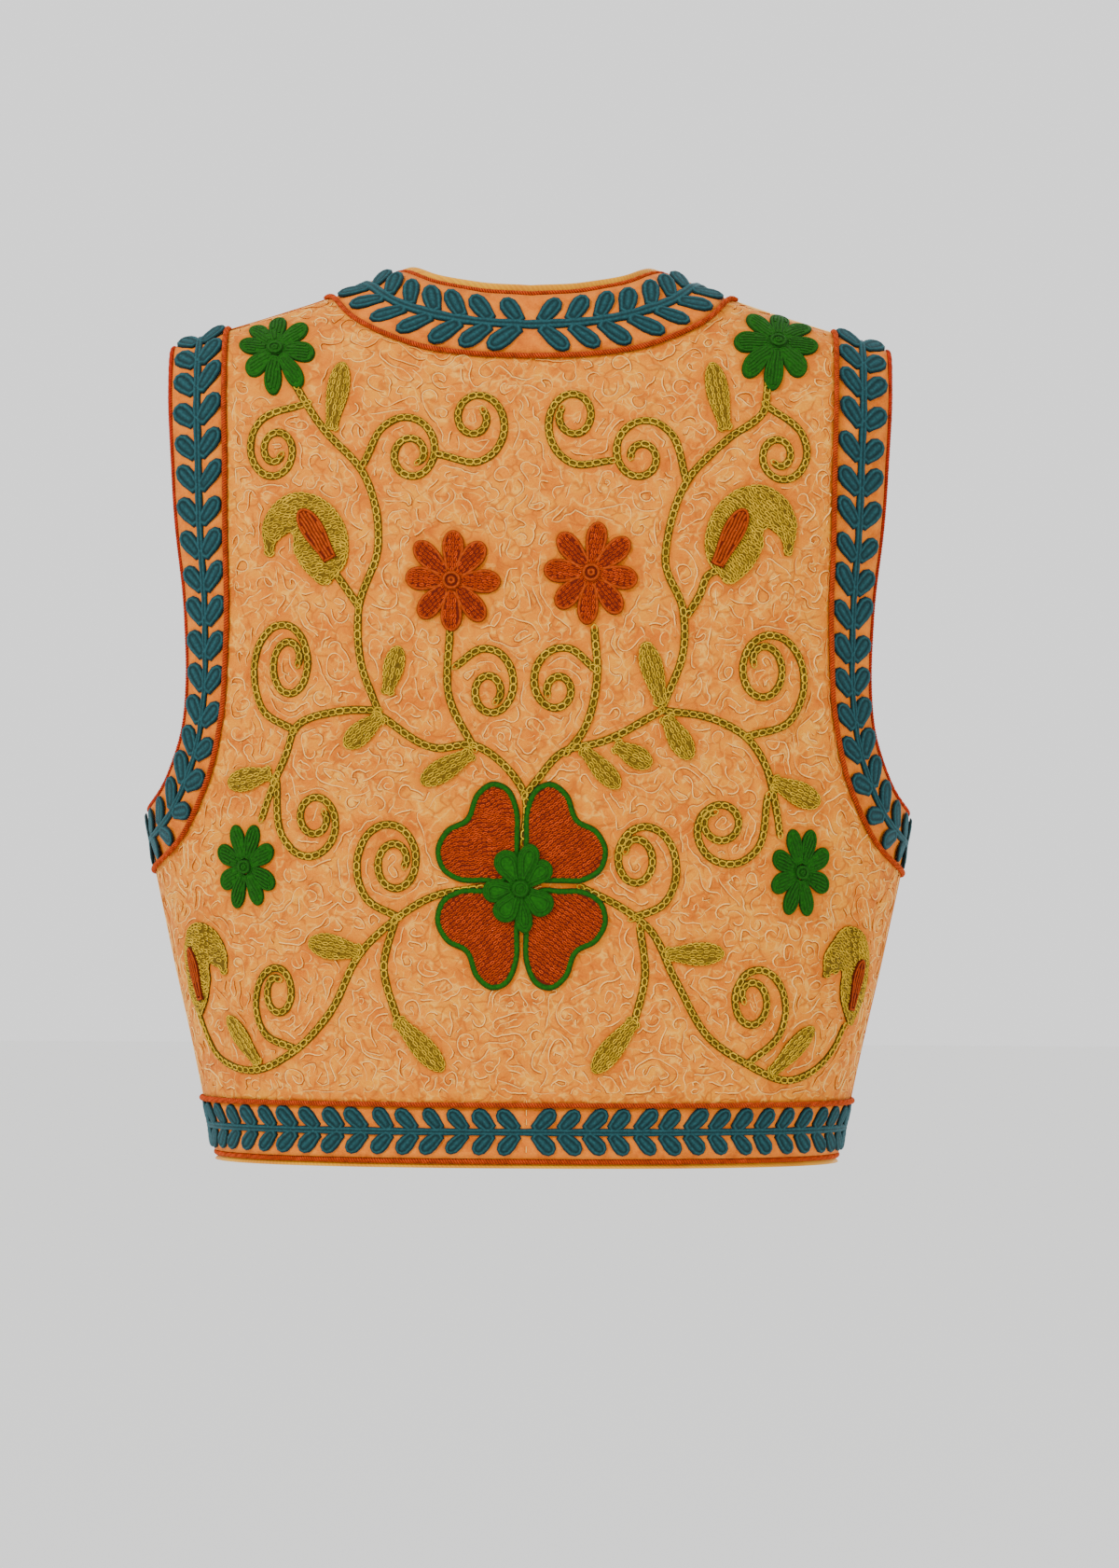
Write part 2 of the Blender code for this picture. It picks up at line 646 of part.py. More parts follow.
def paisley(motif, collection):
    """A ladder of rungs between its two rims, raised along the middle."""
    s, level = lay("back", motif.x, motif.height)
    base = CLOTH_HALF + motif.lift
    outer = np.array([(row.outer_x, row.outer_y) for row in PAISLEY])
    inner = np.array([(row.inner_x, row.inner_y) for row in PAISLEY])
    drawn = np.zeros_like(outer)
    drawn[-2:, 1] = 0.4 * motif.tail, motif.tail
    builder = bmesh.new()

    def rail(share, out):
        line = (outer + (inner - outer) * share + drawn) * (motif.across, motif.up)
        return place(builder, cloth("back", s + motif.curl * line[:, 0], level + line[:, 1], out), False)

    loop = [rail(share, base) for share in (0, 0.25, 0.5, 0.75, 1)]
    loop += [rail(share, base + MOTIF_HEIGHT * rise) for share, rise in ((0.8, 0.8), (0.5, 1.0), (0.2, 0.8))]
    for k in range(len(PAISLEY) - 1):
        for a, b in zip(loop, loop[1:] + loop[:1]):
            builder.faces.new((a[k], a[k + 1], b[k + 1], b[k]))
    for k in (0, -1):
        builder.faces.new([line[k] for line in loop])
    return finish(motif.name, builder, "olive_wool", collection)


# ---- the pieces


def neck_band(collection, edge, seam):
    grid = inset(np.stack([both_sides(edge), both_sides(seam)], axis=1), ("bottom", "top"))
    leans = open_ended(np.sign(np.arange(-NECK_STATIONS, NECK_STATIONS + 1.0)))
    leaf_band("neck_band_back", strip_on("back", grid[:, 0], grid[:, 1]), leans, collection)


def hem_lines(side, start, stations):
    """The hem band's lower edge and its upper seam, from a start round to the side seam."""
    lines = []
    for level in (HEM_LEVEL, HEM_LEVEL + HEM_BAND):
        s = np.linspace(start, float(side_length(side, level)), stations + 1)
        lines.append(np.stack([s, np.full(stations + 1, level)], axis=1))
    return lines


def hem_back(collection):
    edge, seam = (both_sides(line) for line in hem_lines("back", 0.0, HEM_STATIONS))
    grid = inset(np.stack([edge, seam], axis=1), ("bottom", "top"))
    leans = open_ended(np.sign(np.arange(-HEM_STATIONS, HEM_STATIONS + 1.0)))
    leaf_band("hem_band_back", strip_on("back", grid[:, 0], grid[:, 1]), leans, collection)


def hem_front(suffix, collection, front_seam, mirrored):
    edge, seam = hem_lines("front", front_seam[0, 0], FRONT_HEM_STATIONS)
    grid = inset(np.stack([edge, seam], axis=1), ("bottom", "top"))
    leans = open_ended(np.full(FRONT_HEM_STATIONS + 1, -1.0))
    at = strip_on("front", grid[:, 0], grid[:, 1])
    leaf_band("hem_band_front_" + suffix, at, leans, collection, mirrored)


def front_band(suffix, collection, edge, seam, mirrored):
    grid = inset(np.stack([edge, seam], axis=1), ("top",))
    leans = open_ended(np.full(len(edge), -1.0))
    at = strip_on("front", grid[:, 0], grid[:, 1])
    leaf_band("front_band_" + suffix, at, leans, collection, mirrored)


def armhole_trim(suffix, collection, edges, seams, mirrored):
    leans = np.concatenate([np.full(ARMHOLE_ROWS, -1.0), np.full(ARMHOLE_ROWS + 1, 1.0)])
    leans[[0, ARMHOLE_ROWS, -1]] = 0
    at = strip_round_armhole(edges, seams)
    leaf_band("armhole_band_" + suffix, at, leans, collection, mirrored, closed=True)
    over_seam, past_edge = [], []
    for side, keep in (("back", slice(None)), ("front", slice(-2, 0, -1))):
        over_seam.append(line_on(side, seams[side][keep], ON_TOP))
        past_edge.append(line_on(side, beyond(edges[side], seams[side], PAST_EDGE)[keep], 0))
    cord("armhole_seam_cord_" + suffix, np.concatenate(over_seam), collection, mirrored, closed=True)
    cord("armhole_edge_cord_" + suffix, np.concatenate(past_edge), collection, mirrored, closed=True)


def neck_trim(collection, neck_edge, neck_seam, front_edge, front_seam):
    """The cords and the lining's rolled edge, round the back of the neck and down both fronts."""
    down = slice(-2, None, -1)
    over = [line_on("back", neck_seam, ON_TOP), line_on("front", front_seam[down], ON_TOP)]
    past = [
        line_on("back", beyond(neck_edge, neck_seam, PAST_EDGE), 0),
        line_on("front", beyond(front_edge, front_seam, PAST_EDGE)[down], 0),
    ]
    cord("neck_seam_cord", both_sides(np.concatenate(over)), collection)
    cord("neck_edge_cord", both_sides(np.concatenate(past)), collection)

    # The lining shows all round the neck and fades to nothing where the fronts meet.
    meet = int(np.argmax(front_edge[:, 1] > V_NECK_LEVEL)) + 1
    showing = np.concatenate([np.full(NECK_STATIONS + 1, 1.0), np.linspace(1, 0, len(front_edge) - meet)[1:]])
    reach = (2 * PAST_EDGE + LINING_SHOWS) * showing
    skins = []
    for out in (LINING_FACE, LINING_FACE - LINING_THICK):
        lines = []
        for share, distance in ((VALLEY_SHARE, 0 * reach), (0, 0 * reach), (0, reach)):
            split = NECK_STATIONS + 1
            fronts = front_edge[meet:-1][::-1], front_seam[meet:-1][::-1]
            behind = line_on("back", beyond(neck_edge, neck_seam, distance[:split], share), out)
            before = line_on("front", beyond(*fronts, distance[split:], share), out)
            lines.append(both_sides(np.concatenate([behind, before])))
        skins.append(np.stack(lines))
    wall("neck_lining_edge", *skins, "lining", collection)


def hem_trim(collection, front_edge, front_seam):
    """The cords and the lining's rolled edge round the hem."""

    def round_hem(level, out, stop):
        back_s = np.linspace(0, float(side_length("back", level)), HEM_STATIONS + 1)
        front_s = np.linspace(float(side_length("front", level)), stop, FRONT_HEM_STATIONS + 1)[1:]
        round_one_side = cloth("back", back_s, level, out), cloth("front", front_s, level, out)
        return both_sides(np.concatenate(round_one_side))

    beside_front = front_seam[0, 0] + 2 * CORD_RADIUS + LIFT
    cord("hem_seam_cord", round_hem(HEM_LEVEL + HEM_BAND, ON_TOP, beside_front), collection)
    cord("hem_edge_cord", round_hem(HEM_LEVEL - PAST_EDGE, 0.0, front_edge[0, 0] + CORD_RADIUS), collection)
    levels = HEM_LEVEL - 2 * PAST_EDGE - LINING_SHOWS, HEM_LEVEL, HEM_LEVEL + VALLEY_SHARE * HEM_BAND
    skins = [
        np.stack([round_hem(level, out, front_edge[0, 0] + CORD_RADIUS) for level in levels])
        for out in (LINING_FACE, LINING_FACE - LINING_THICK)
    ]
    wall("hem_lining_edge", *skins, "lining", collection)


def build():
    clear_scene()
    collection = bpy.data.collections.new("embroidered_waistcoat")
    bpy.context.scene.collection.children.link(collection)

    armhole_edge = armhole_curve(ARMHOLE_EDGE_BACK, ARMHOLE_EDGE_FRONT)
    armhole_seam = armhole_curve(ARMHOLE_SEAM_BACK, ARMHOLE_SEAM_FRONT)
    neck_edge, neck_seam = neck_curve(NECK_EDGE_BACK), neck_curve(NECK_SEAM_BACK)
    front_edge = front_curve(0, NECK_X, V_NECK_LEVEL)
    front_seam = front_curve(FRONT_BAND, NECK_SEAM_X, V_NECK_LEVEL - V_NECK_SEAM_DROP)

    back_panel(collection, armhole_seam, neck_seam)
    neck_band(collection, neck_edge, neck_seam)
    hem_back(collection)
    for suffix, mirrored in (("right", False), ("left", True)):
        front_panel("front_" + suffix, collection, armhole_seam, front_seam, mirrored)
        front_band(suffix, collection, front_edge, front_seam, mirrored)
        hem_front(suffix, collection, front_seam, mirrored)
        armhole_trim(suffix, collection, armhole_edge, armhole_seam, mirrored)
    neck_trim(collection, neck_edge, neck_seam, front_edge, front_seam)
    hem_trim(collection, front_edge, front_seam)
    for motif in DAISIES:
        daisy(motif, "green_wool" if motif.name.startswith("green") else "orange_wool", collection)
    for motif in PETALS:
        petal(motif, collection)
    daisy(FLOWER_HEART, "green_wool", collection, petals=HEART_LOBES, height=2 * MOTIF_HEIGHT)
    for motif in PAISLEYS:
        paisley(motif, collection)


build()
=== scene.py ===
import bmesh
import bpy
import numpy as np
from mathutils import Euler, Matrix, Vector
from mathutils.kdtree import KDTree


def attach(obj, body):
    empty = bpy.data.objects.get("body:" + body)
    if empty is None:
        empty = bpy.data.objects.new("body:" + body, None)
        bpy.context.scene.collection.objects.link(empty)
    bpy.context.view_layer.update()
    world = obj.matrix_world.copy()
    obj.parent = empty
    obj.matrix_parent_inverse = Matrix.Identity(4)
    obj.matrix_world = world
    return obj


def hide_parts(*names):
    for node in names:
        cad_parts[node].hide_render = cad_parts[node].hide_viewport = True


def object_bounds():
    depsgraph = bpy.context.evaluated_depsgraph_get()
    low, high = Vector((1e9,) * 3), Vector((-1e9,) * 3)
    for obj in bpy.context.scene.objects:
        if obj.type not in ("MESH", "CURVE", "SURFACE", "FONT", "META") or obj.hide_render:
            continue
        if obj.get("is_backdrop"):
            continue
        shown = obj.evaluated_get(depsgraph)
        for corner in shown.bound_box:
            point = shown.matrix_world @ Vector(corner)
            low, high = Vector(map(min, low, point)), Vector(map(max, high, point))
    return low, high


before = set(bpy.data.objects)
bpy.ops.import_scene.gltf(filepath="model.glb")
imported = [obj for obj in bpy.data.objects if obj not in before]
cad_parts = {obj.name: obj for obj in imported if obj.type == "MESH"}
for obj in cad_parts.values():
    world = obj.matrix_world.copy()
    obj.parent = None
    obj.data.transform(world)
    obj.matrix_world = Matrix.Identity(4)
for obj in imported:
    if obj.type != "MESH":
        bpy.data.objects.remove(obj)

cad_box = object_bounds()

# ---- The studio
# A plain pale floor far below the hem, as the waistcoat is worn, and a white surround. Three wide soft
# lamps light it evenly, a little stronger from the upper left, and the camera looks at the wearer's back.

FLOOR_LEVEL, FLOOR_HALF = -1.3, 30.0
WORN_MIDDLE = Vector((0.0, 0.03, -0.22))
LAMPS = {  # place, size and power of each
    "key_lamp": ((-1.7, -1.9, 1.6), 0.7, 75),
    "side_lamp": ((2.2, -2.0, 0.1), 1.6, 20),
    "front_lamp": ((0.8, 2.8, 0.9), 1.6, 56),
}


def in_scene(name, data):
    """An object in the scene that holds a mesh, a lamp or a camera."""
    item = bpy.data.objects.new(name, data)
    bpy.context.scene.collection.objects.link(item)
    return item


paper = bpy.data.materials.new("pale_paper")
paper.use_nodes = True
paper.node_tree.nodes["Principled BSDF"].inputs["Base Color"].default_value = (0.93, 0.93, 0.92, 1)
paper.node_tree.nodes["Principled BSDF"].inputs["Roughness"].default_value = 0.9
floor_mesh = bpy.data.meshes.new("studio_floor")
corners = [(x * FLOOR_HALF, y * FLOOR_HALF, FLOOR_LEVEL) for x, y in ((-1, -1), (1, -1), (1, 1), (-1, 1))]
floor_mesh.from_pydata(corners, [], [(0, 1, 2, 3)])
floor_mesh.materials.append(paper)
in_scene("studio_floor", floor_mesh)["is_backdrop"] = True

for name, (place, size, power) in LAMPS.items():
    light = bpy.data.lights.new(name, "AREA")
    light.shape = "DISK"
    light.size = size
    light.energy = power
    lamp = in_scene(name, light)
    lamp.location = place
    lamp.rotation_euler = (WORN_MIDDLE - Vector(place)).to_track_quat("-Z", "Y").to_euler()

surround = bpy.data.worlds.new("white_surround")
surround.use_nodes = True
surround.node_tree.nodes["Background"].inputs["Color"].default_value = (1, 1, 1, 1)
surround.node_tree.nodes["Background"].inputs["Strength"].default_value = 1.35
bpy.context.scene.world = surround

view = bpy.data.cameras.new("back_view")
view.sensor_width = 36.0
view.lens = 147.3
view.clip_end = 100.0
camera = in_scene("back_view", view)
camera.location = (0.0171, -3.5, -0.29)
camera.rotation_euler = Euler((np.radians(90.59), np.radians(-0.3), 0.0), "XYZ")
bpy.context.scene.camera = camera

# ---- The back
# One piece of fulled wool cloth on a yellow lining, cut from the hem band up and over both shoulders. Worn,
# it stands on the wearer's back: rounded at the sides, and rolling over the shoulders to their seams.

MM = 0.001
CLOTH_HALF = 1.1
PROBE = 0.6  # how far apart the cloth is felt for its slope
SHOULDER_BACK = 28.0  # the shoulder seam lies this far behind the form's middle
ROLL_HEIGHT, ROLL_LENGTH = 56.0, 80.0  # the roll over the shoulder: its rise and the cloth that it takes
SECTIONS = np.array([  # level, half width, depth behind and depth in front
    (-480, 166.0, 113, 112),
    (-457, 170.0, 113, 114),
    (-400, 181.5, 111, 119),
    (-340, 195.0, 110, 124),
    (-270, 208.0, 113, 127),
    (-200, 209.0, 117, 124),
    (-140, 213.0, 115, 110),
    (-90, 222.0, 106, 90),
    (-40, 236.0, 91, 66),
    (0, 248.0, 80, 44),
    (70, 260.0, 74, 26),
])
SHOULDER_LINE = np.array([  # how far across and how high
    (0, 38), (40, 33), (76, 23), (111, 8.5), (138, -0.5), (164, -8.5), (193, -17), (260, -30),
])
CREASE_BOW, RIDGE_SHARE, RIDGE_ASIDE = 0.0018, 0.45, 1.3  # a crease's bow, and the ridge beside it
CREASES = {  # soft creases of the worn cloth: s, level, length, turn, width and depth of each
    "back": [
        (-176, -335, 62, 62, 9, 1.6),
        (-205, -352, 46, 74, 8, 1.2),
        (182, -340, 70, 112, 10, 1.7),
        (212, -330, 44, 102, 8, 1.1),
        (-150, -205, 54, 100, 9, 0.9),
        (146, -225, 58, 78, 9, 0.9),
        (0, -405, 60, 90, 16, 0.8),
        (-92, -398, 64, 12, 12, 0.9),
        (104, -394, 58, 170, 12, 0.8),
        (-60, 12, 44, 100, 10, 0.8),
        (66, 15, 40, 80, 10, 0.8),
    ],
    "front": [
        (-160, -330, 72, 66, 11, 1.9),
        (-196, -350, 50, 80, 8, 1.3),
        (168, -322, 66, 118, 10, 1.7),
        (204, -352, 54, 98, 9, 1.4),
        (-120, -245, 66, 40, 12, 1.6),
        (126, -250, 60, 136, 11, 1.4),
        (-84, -385, 74, 84, 12, 1.3),
        (92, -378, 64, 97, 13, 1.2),
        (-128, -70, 56, 108, 11, 1.2),
        (124, -76, 60, 70, 11, 1.3),
    ],
}


def smooth(at, x, y):
    """A cubic through the values y at x, with the slopes of a Catmull-Rom spline."""
    at, x, y = (np.asarray(v, float) for v in (at, x, y))
    slope = np.gradient(y, x)
    i = np.clip(np.searchsorted(x, at) - 1, 0, len(x) - 2)
    width = x[i + 1] - x[i]
    t = np.clip((at - x[i]) / width, 0, 1)
    bend = width * t * (1 - t) * ((1 - t) * slope[i] - t * slope[i + 1])
    return y[i] + (y[i + 1] - y[i]) * t * t * (3 - 2 * t) + bend


def quarter_arc(exponent, ratio):
    """A rounded quarter turn: the share of its length, how far across and how far along at each step."""
    angle = np.linspace(0, np.pi / 2, 1200)
    across, along = np.sin(angle) ** (2 / exponent), np.cos(angle) ** (2 / exponent)
    share = np.concatenate([[0], np.cumsum(np.hypot(np.diff(across), ratio * np.diff(along)))])
    return share / share[-1], across, along


RING_SHARE, RING_ACROSS, RING_ALONG = quarter_arc(exponent=2.35, ratio=0.58)
ROLL_SHARE, ROLL_UP, ROLL_IN = quarter_arc(exponent=2.0, ratio=0.86)
LEVELS = np.arange(-490.0, 90.0, 0.5)
WIDE = smooth(LEVELS, SECTIONS[:, 0], SECTIONS[:, 1])
DEEP = {side: smooth(LEVELS, SECTIONS[:, 0], SECTIONS[:, k]) for side, k in (("back", 2), ("front", 3))}
LENGTH = {
    side: np.hypot(np.outer(WIDE, np.diff(RING_ACROSS)), np.outer(deep, np.diff(RING_ALONG))).sum(axis=1)
    for side, deep in DEEP.items()
}


def side_length(side, level):
    """Length of cloth from the centre of the back or front round to the side seam."""
    return np.interp(level, LEVELS, LENGTH[side])


def shoulder_height(x):
    return smooth(np.abs(x), SHOULDER_LINE[:, 0], SHOULDER_LINE[:, 1])


def worn_form(side, s, level):
    """Points of the worn form in millimetres: s round from the centre of that side, level up the cloth."""
    share = np.abs(s) / side_length(side, level)
    x = np.sign(s) * np.interp(level, LEVELS, WIDE) * np.interp(share, RING_SHARE, RING_ACROSS)
    y = np.interp(level, LEVELS, DEEP[side]) * np.interp(share, RING_SHARE, RING_ALONG)
    y = -y if side == "back" else y
    roll_from = shoulder_height(x) - ROLL_HEIGHT
    rolled = np.clip((level - roll_from) / ROLL_LENGTH, 0, 1)
    z = np.where(rolled > 0, roll_from + ROLL_HEIGHT * np.interp(rolled, ROLL_SHARE, ROLL_UP), level)
    return np.stack([x, (y + SHOULDER_BACK) * np.interp(rolled, ROLL_SHARE, ROLL_IN), z], axis=-1)


def creased(side, s, level):
    """How far the creases draw the cloth in."""
    drawn = np.zeros(np.broadcast(s, level).shape)
    for middle, height, length, degrees, width, depth in CREASES[side]:
        turn = np.radians(degrees)
        along = (s - middle) * np.cos(turn) + (level - height) * np.sin(turn)
        across = (level - height) * np.cos(turn) - (s - middle) * np.sin(turn) - CREASE_BOW * along**2
        fade = depth * np.clip(1 - (2 * along / length) ** 2, 0, 1) ** 1.5
        ridge = RIDGE_SHARE * np.exp(-2 * (across / width - RIDGE_ASIDE) ** 2)
        drawn += fade * (ridge - np.exp(-2 * (across / width) ** 2))
    return drawn


def on_cloth(side, laid, out=0.0):
    """Points at a distance out from the middle of the cloth, in millimetres, and its outward normals."""
    s, level = laid[..., 0], laid[..., 1]
    around = worn_form(side, s + PROBE, level) - worn_form(side, s - PROBE, level)
    up = worn_form(side, s, level + PROBE) - worn_form(side, s, level - PROBE)
    normal = np.cross(around, up) if side == "back" else np.cross(up, around)
    normal /= np.linalg.norm(normal, axis=-1, keepdims=True)
    return worn_form(side, s, level) + normal * (out + creased(side, s, level))[..., None], normal


def lay(side, x, height):
    """Cloth coordinates of places given by how far across and how high they are."""
    x, height = np.asarray(x, float), np.asarray(height, float)
    roll_from = shoulder_height(x) - ROLL_HEIGHT
    risen = np.clip((height - roll_from) / ROLL_HEIGHT, 0, 1)
    level = np.where(risen > 0, roll_from + ROLL_LENGTH * np.interp(risen, ROLL_UP, ROLL_SHARE), height)
    across = np.minimum(np.abs(x) / np.interp(level, LEVELS, WIDE), 1)
    s = np.sign(x) * np.interp(across, RING_ACROSS, RING_SHARE) * side_length(side, level)
    return np.stack([s, level], axis=-1)


def run_along(points):
    """How far along a line each of its points is."""
    return np.concatenate([[0], np.cumsum(np.linalg.norm(np.diff(points, axis=0), axis=1))])


def even(points, count):
    """Points along a polyline, evenly spaced, count + 1 of them."""
    along = run_along(points)
    at = np.linspace(0, along[-1], count + 1)
    return np.stack([np.interp(at, along, points[:, k]) for k in range(points.shape[1])], axis=1)


def curve_through(points, fine=400):
    points = np.asarray(points, float)
    along = run_along(points)
    at = np.linspace(0, along[-1], fine)
    return np.stack([smooth(at, along, points[:, k]) for k in range(points.shape[1])], axis=1)


# The cut: how far across and how high each edge runs. TOP is the shoulder seam, SIDE the side seam.
HEM_LEVEL, HEM_BAND, UNDERARM = -454.5, 28.5, -302.0
HEM_SEAM = HEM_LEVEL + HEM_BAND
TOP, SIDE = 99.0, 999.0
NECK_POINT, NECK_SEAM_POINT, SHOULDER_POINT = 76.0, 111.0, 164.5
ARMHOLE = {  # from the shoulder down the back and round to the front's shoulder
    "edge": {
        "back": [
            (193, TOP), (193, -60), (189.5, -115), (184, -165), (183, -200), (187, -232), (196.5, -256),
            (SIDE, -271),
        ],
        "front": [(192, -255), (177, -228), (170, -190), (172, -140), (183, -85), (193, TOP)],
    },
    "seam": {
        "back": [
            (SHOULDER_POINT, TOP), (164, -60), (162.5, -120), (161.5, -180), (164, -220), (171, -252),
            (184, -281), (SIDE, UNDERARM),
        ],
        "front": [(178, -284), (157, -250), (146, -205), (146, -150), (155, -85), (SHOULDER_POINT, TOP)],
    },
}
NECK = {
    "edge": [(0, 8.5), (30, 11), (55, 17), (NECK_POINT, TOP)],
    "seam": [(0, -25.5), (34, -24), (65, -18.5), (94, -5), (NECK_SEAM_POINT, TOP)],
}


def armhole_line(which, count=126):
    """The armhole's edge or seam, from the shoulder down the back and from the shoulder down the front."""
    from_side = []
    for side, rows in ARMHOLE[which].items():
        for x, height in rows:
            x = min(x, float(np.interp(min(height, 0), LEVELS, WIDE)))
            s, level = lay(side, x, min(height, float(shoulder_height(x))))
            short = float(side_length(side, level)) - s
            from_side.append((-short if side == "back" else short, level))
    whole = curve_through(from_side)
    under = int(np.argmin(np.abs(whole[:, 0])))
    whole[under, 0] = 0.0
    halves = {}
    for side, part in (("back", whole[: under + 1]), ("front", whole[under:][::-1])):
        s = side_length(side, part[:, 1]) - np.abs(part[:, 0])
        halves[side] = even(np.stack([s, part[:, 1]], axis=1), count)
    return halves


def neck_line(which, count=70):
    laid = [lay("back", x, min(height, float(shoulder_height(x)))) for x, height in NECK[which]]
    return even(curve_through(laid), count)


def at_level(s, level):
    """A line round the cloth at one level."""
    return np.stack([s, np.full(len(s), level)], axis=1)


def hem_seam(side, start, count):
    return at_level(np.linspace(start, float(side_length(side, HEM_SEAM)), count + 1), HEM_SEAM)


def side_seam(side, count=40):
    level = np.linspace(HEM_SEAM, UNDERARM, count + 1)
    return np.stack([side_length(side, level), level], axis=1)


def shoulder_seam(side, count=40):
    x = np.linspace(NECK_SEAM_POINT, SHOULDER_POINT, count + 1)
    return lay(side, x, shoulder_height(x))


def patch(bottom, top, near, far):
    """A four-sided patch between its edges, rows from bottom to top."""
    v = np.linspace(0, 1, len(near))[:, None, None]
    u = np.linspace(0, 1, len(bottom))[None, :, None]
    between = (1 - v) * bottom[None] + v * top[None] + (1 - u) * near[:, None] + u * far[:, None]
    corners = (1 - u) * (1 - v) * bottom[0] + u * (1 - v) * bottom[-1]
    return between - corners - (1 - u) * v * top[0] - u * v * top[-1]


def new_piece(name, points, faces, material):
    """A mesh in metres from points in millimetres."""
    mesh = bpy.data.meshes.new(name)
    mesh.from_pydata(np.asarray(points, float).reshape(-1, 3) * MM, [], faces)
    mesh.shade_smooth()
    mesh.materials.append(material)
    return in_scene(name, mesh)


def turn_outwards(mesh, merge=None):
    builder = bmesh.new()
    builder.from_mesh(mesh)
    if merge:
        bmesh.ops.remove_doubles(builder, verts=builder.verts, dist=merge)
    bmesh.ops.recalc_face_normals(builder, faces=builder.faces)
    builder.to_mesh(mesh)
    builder.free()


def mark_points(mesh, label, values):
    """Keeps one number for each point of a mesh, for its material to read."""
    attribute = mesh.attributes.new(label, "FLOAT", "POINT")
    attribute.data.foreach_set("value", np.asarray(values, np.float32))


def sewn_on(piece, node=None):
    """Fixes a finished piece to the waistcoat, in place of the solid that it dresses, where there is one."""
    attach(piece, "root")
    if node:
        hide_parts(node)
    return piece


def grid_faces(rows, columns, first, closed):
    """Faces between rows of points, the first point's number being first, and closed round where asked."""
    i, j = np.meshgrid(np.arange(rows - (0 if closed else 1)), np.arange(columns - 1), indexing="ij")
    n = (i + 1) % rows
    quads = np.stack([i * columns + j, i * columns + j + 1, n * columns + j + 1, n * columns + j], axis=-1)
    return (quads.reshape(-1, 4) + first).tolist()


def shell(name, outer, inner, laid, materials, closed=False):
    """A wall of cloth between an outer and an inner skin, with its cloth coordinates as a UV map."""
    rows, columns = outer.shape[:2]
    count = rows * columns
    faces = grid_faces(rows, columns, 0, closed)
    inside = [face[::-1] for face in grid_faces(rows, columns, count, closed)]
    index = np.arange(count).reshape(rows, columns)
    if closed:
        rims = [np.append(index[:, k], index[0, k]) for k in (0, -1)]
    else:
        ends = index[0, :-1], index[:-1, -1], index[-1, :0:-1], index[:0:-1, 0], index[0, :1]
        rims = [np.concatenate(ends)]
    sides = [(a, b, b + count, a + count) for rim in rims for a, b in zip(rim.tolist(), rim[1:].tolist())]
    piece = new_piece(name, np.concatenate([outer, inner]), faces + inside + sides, materials[0])
    mesh = piece.data
    if len(materials) > 1:
        mesh.materials.append(materials[1])
        slots = np.zeros(len(mesh.polygons), np.int32)
        slots[len(faces): len(faces) + len(inside)] = 1
        mesh.polygons.foreach_set("material_index", slots)
    flat = np.concatenate([laid.reshape(-1, 2)] * 2) * MM
    corners = np.zeros(len(mesh.loops), np.int32)
    mesh.loops.foreach_get("vertex_index", corners)
    mesh.uv_layers.new(name="laid").data.foreach_set("uv", flat[corners].ravel())
    turn_outwards(mesh)
    return piece


def put(tree, kind, *values, give=None, **settings):
    """A node in a tree. Settings are its own choices or its sockets by name, and it gives back a wire."""
    node = tree.nodes.new(kind)
    choices = [name for name in settings if name in node.bl_rna.properties]
    for name in choices:
        setattr(node, name, settings.pop(name))
    sockets = list(zip(node.inputs, values))
    for name, value in settings.items():
        label = name.replace("_", " ")
        sockets.append((next(s for s in node.inputs if s.name == label and s.enabled), value))
    for socket, value in sockets:
        if isinstance(value, bpy.types.NodeSocket):
            tree.links.new(value, socket)
        else:
            socket.default_value = (*value, 1) if socket.type == "RGBA" else value
    return node.outputs[give] if give else next(s for s in node.outputs if s.enabled)


def maths(tree, operation, *values):
    return put(tree, "ShaderNodeMath", *values, operation=operation)


def noise(tree, place, scale, detail, roughness=0.5):
    return put(tree, "ShaderNodeTexNoise", Vector=place, Scale=scale, Detail=detail, Roughness=roughness)


def ramp(tree, fac, stops):
    """A colour ramp over (position, colour) stops."""
    colour = put(tree, "ShaderNodeValToRGB", Fac=fac)
    elements = colour.node.color_ramp.elements
    for k, (position, shade) in enumerate(stops):
        stop = elements[k] if k < 2 else elements.new(position)
        stop.position = position
        stop.color = (*shade, 1)
    return colour


def blend(tree, fac, below, above, kind="MIX"):
    return put(tree, "ShaderNodeMix", data_type="RGBA", blend_type=kind, Factor=fac, A=below, B=above)


def mottled(tree, colour, tone, amount, dark, light, light_from=0.7):
    """A colour darkened and lightened in small spots by a tone."""
    return blend(tree, amount, colour, ramp(tree, tone, [(0.3, dark), (light_from, light)]), "OVERLAY")


def grey(level):
    return (level,) * 3


def cloth_material(name, roughness, sheen, tint):
    """A plain finish for cloth and wool, with the tree that its colour and surface are made in."""
    material = bpy.data.materials.new(name)
    material.use_nodes = True
    finish = material.node_tree.nodes["Principled BSDF"].inputs
    finish["Roughness"].default_value = roughness
    finish["Specular IOR Level"].default_value = 0.12
    finish["Sheen Weight"].default_value = sheen
    finish["Sheen Roughness"].default_value = 0.5
    finish["Sheen Tint"].default_value = (*tint, 1)
    return material, material.node_tree


def dyed(material, colour, height=None, strength=0.5, distance=0.0004):
    """Gives a finish its colour and, where there is one, its raised surface."""
    tree = material.node_tree
    finish = tree.nodes["Principled BSDF"].inputs
    tree.links.new(colour, finish["Base Color"])
    if height:
        bump = put(tree, "ShaderNodeBump", Height=height, Strength=strength, Distance=distance)
        tree.links.new(bump, finish["Normal"])
    return material


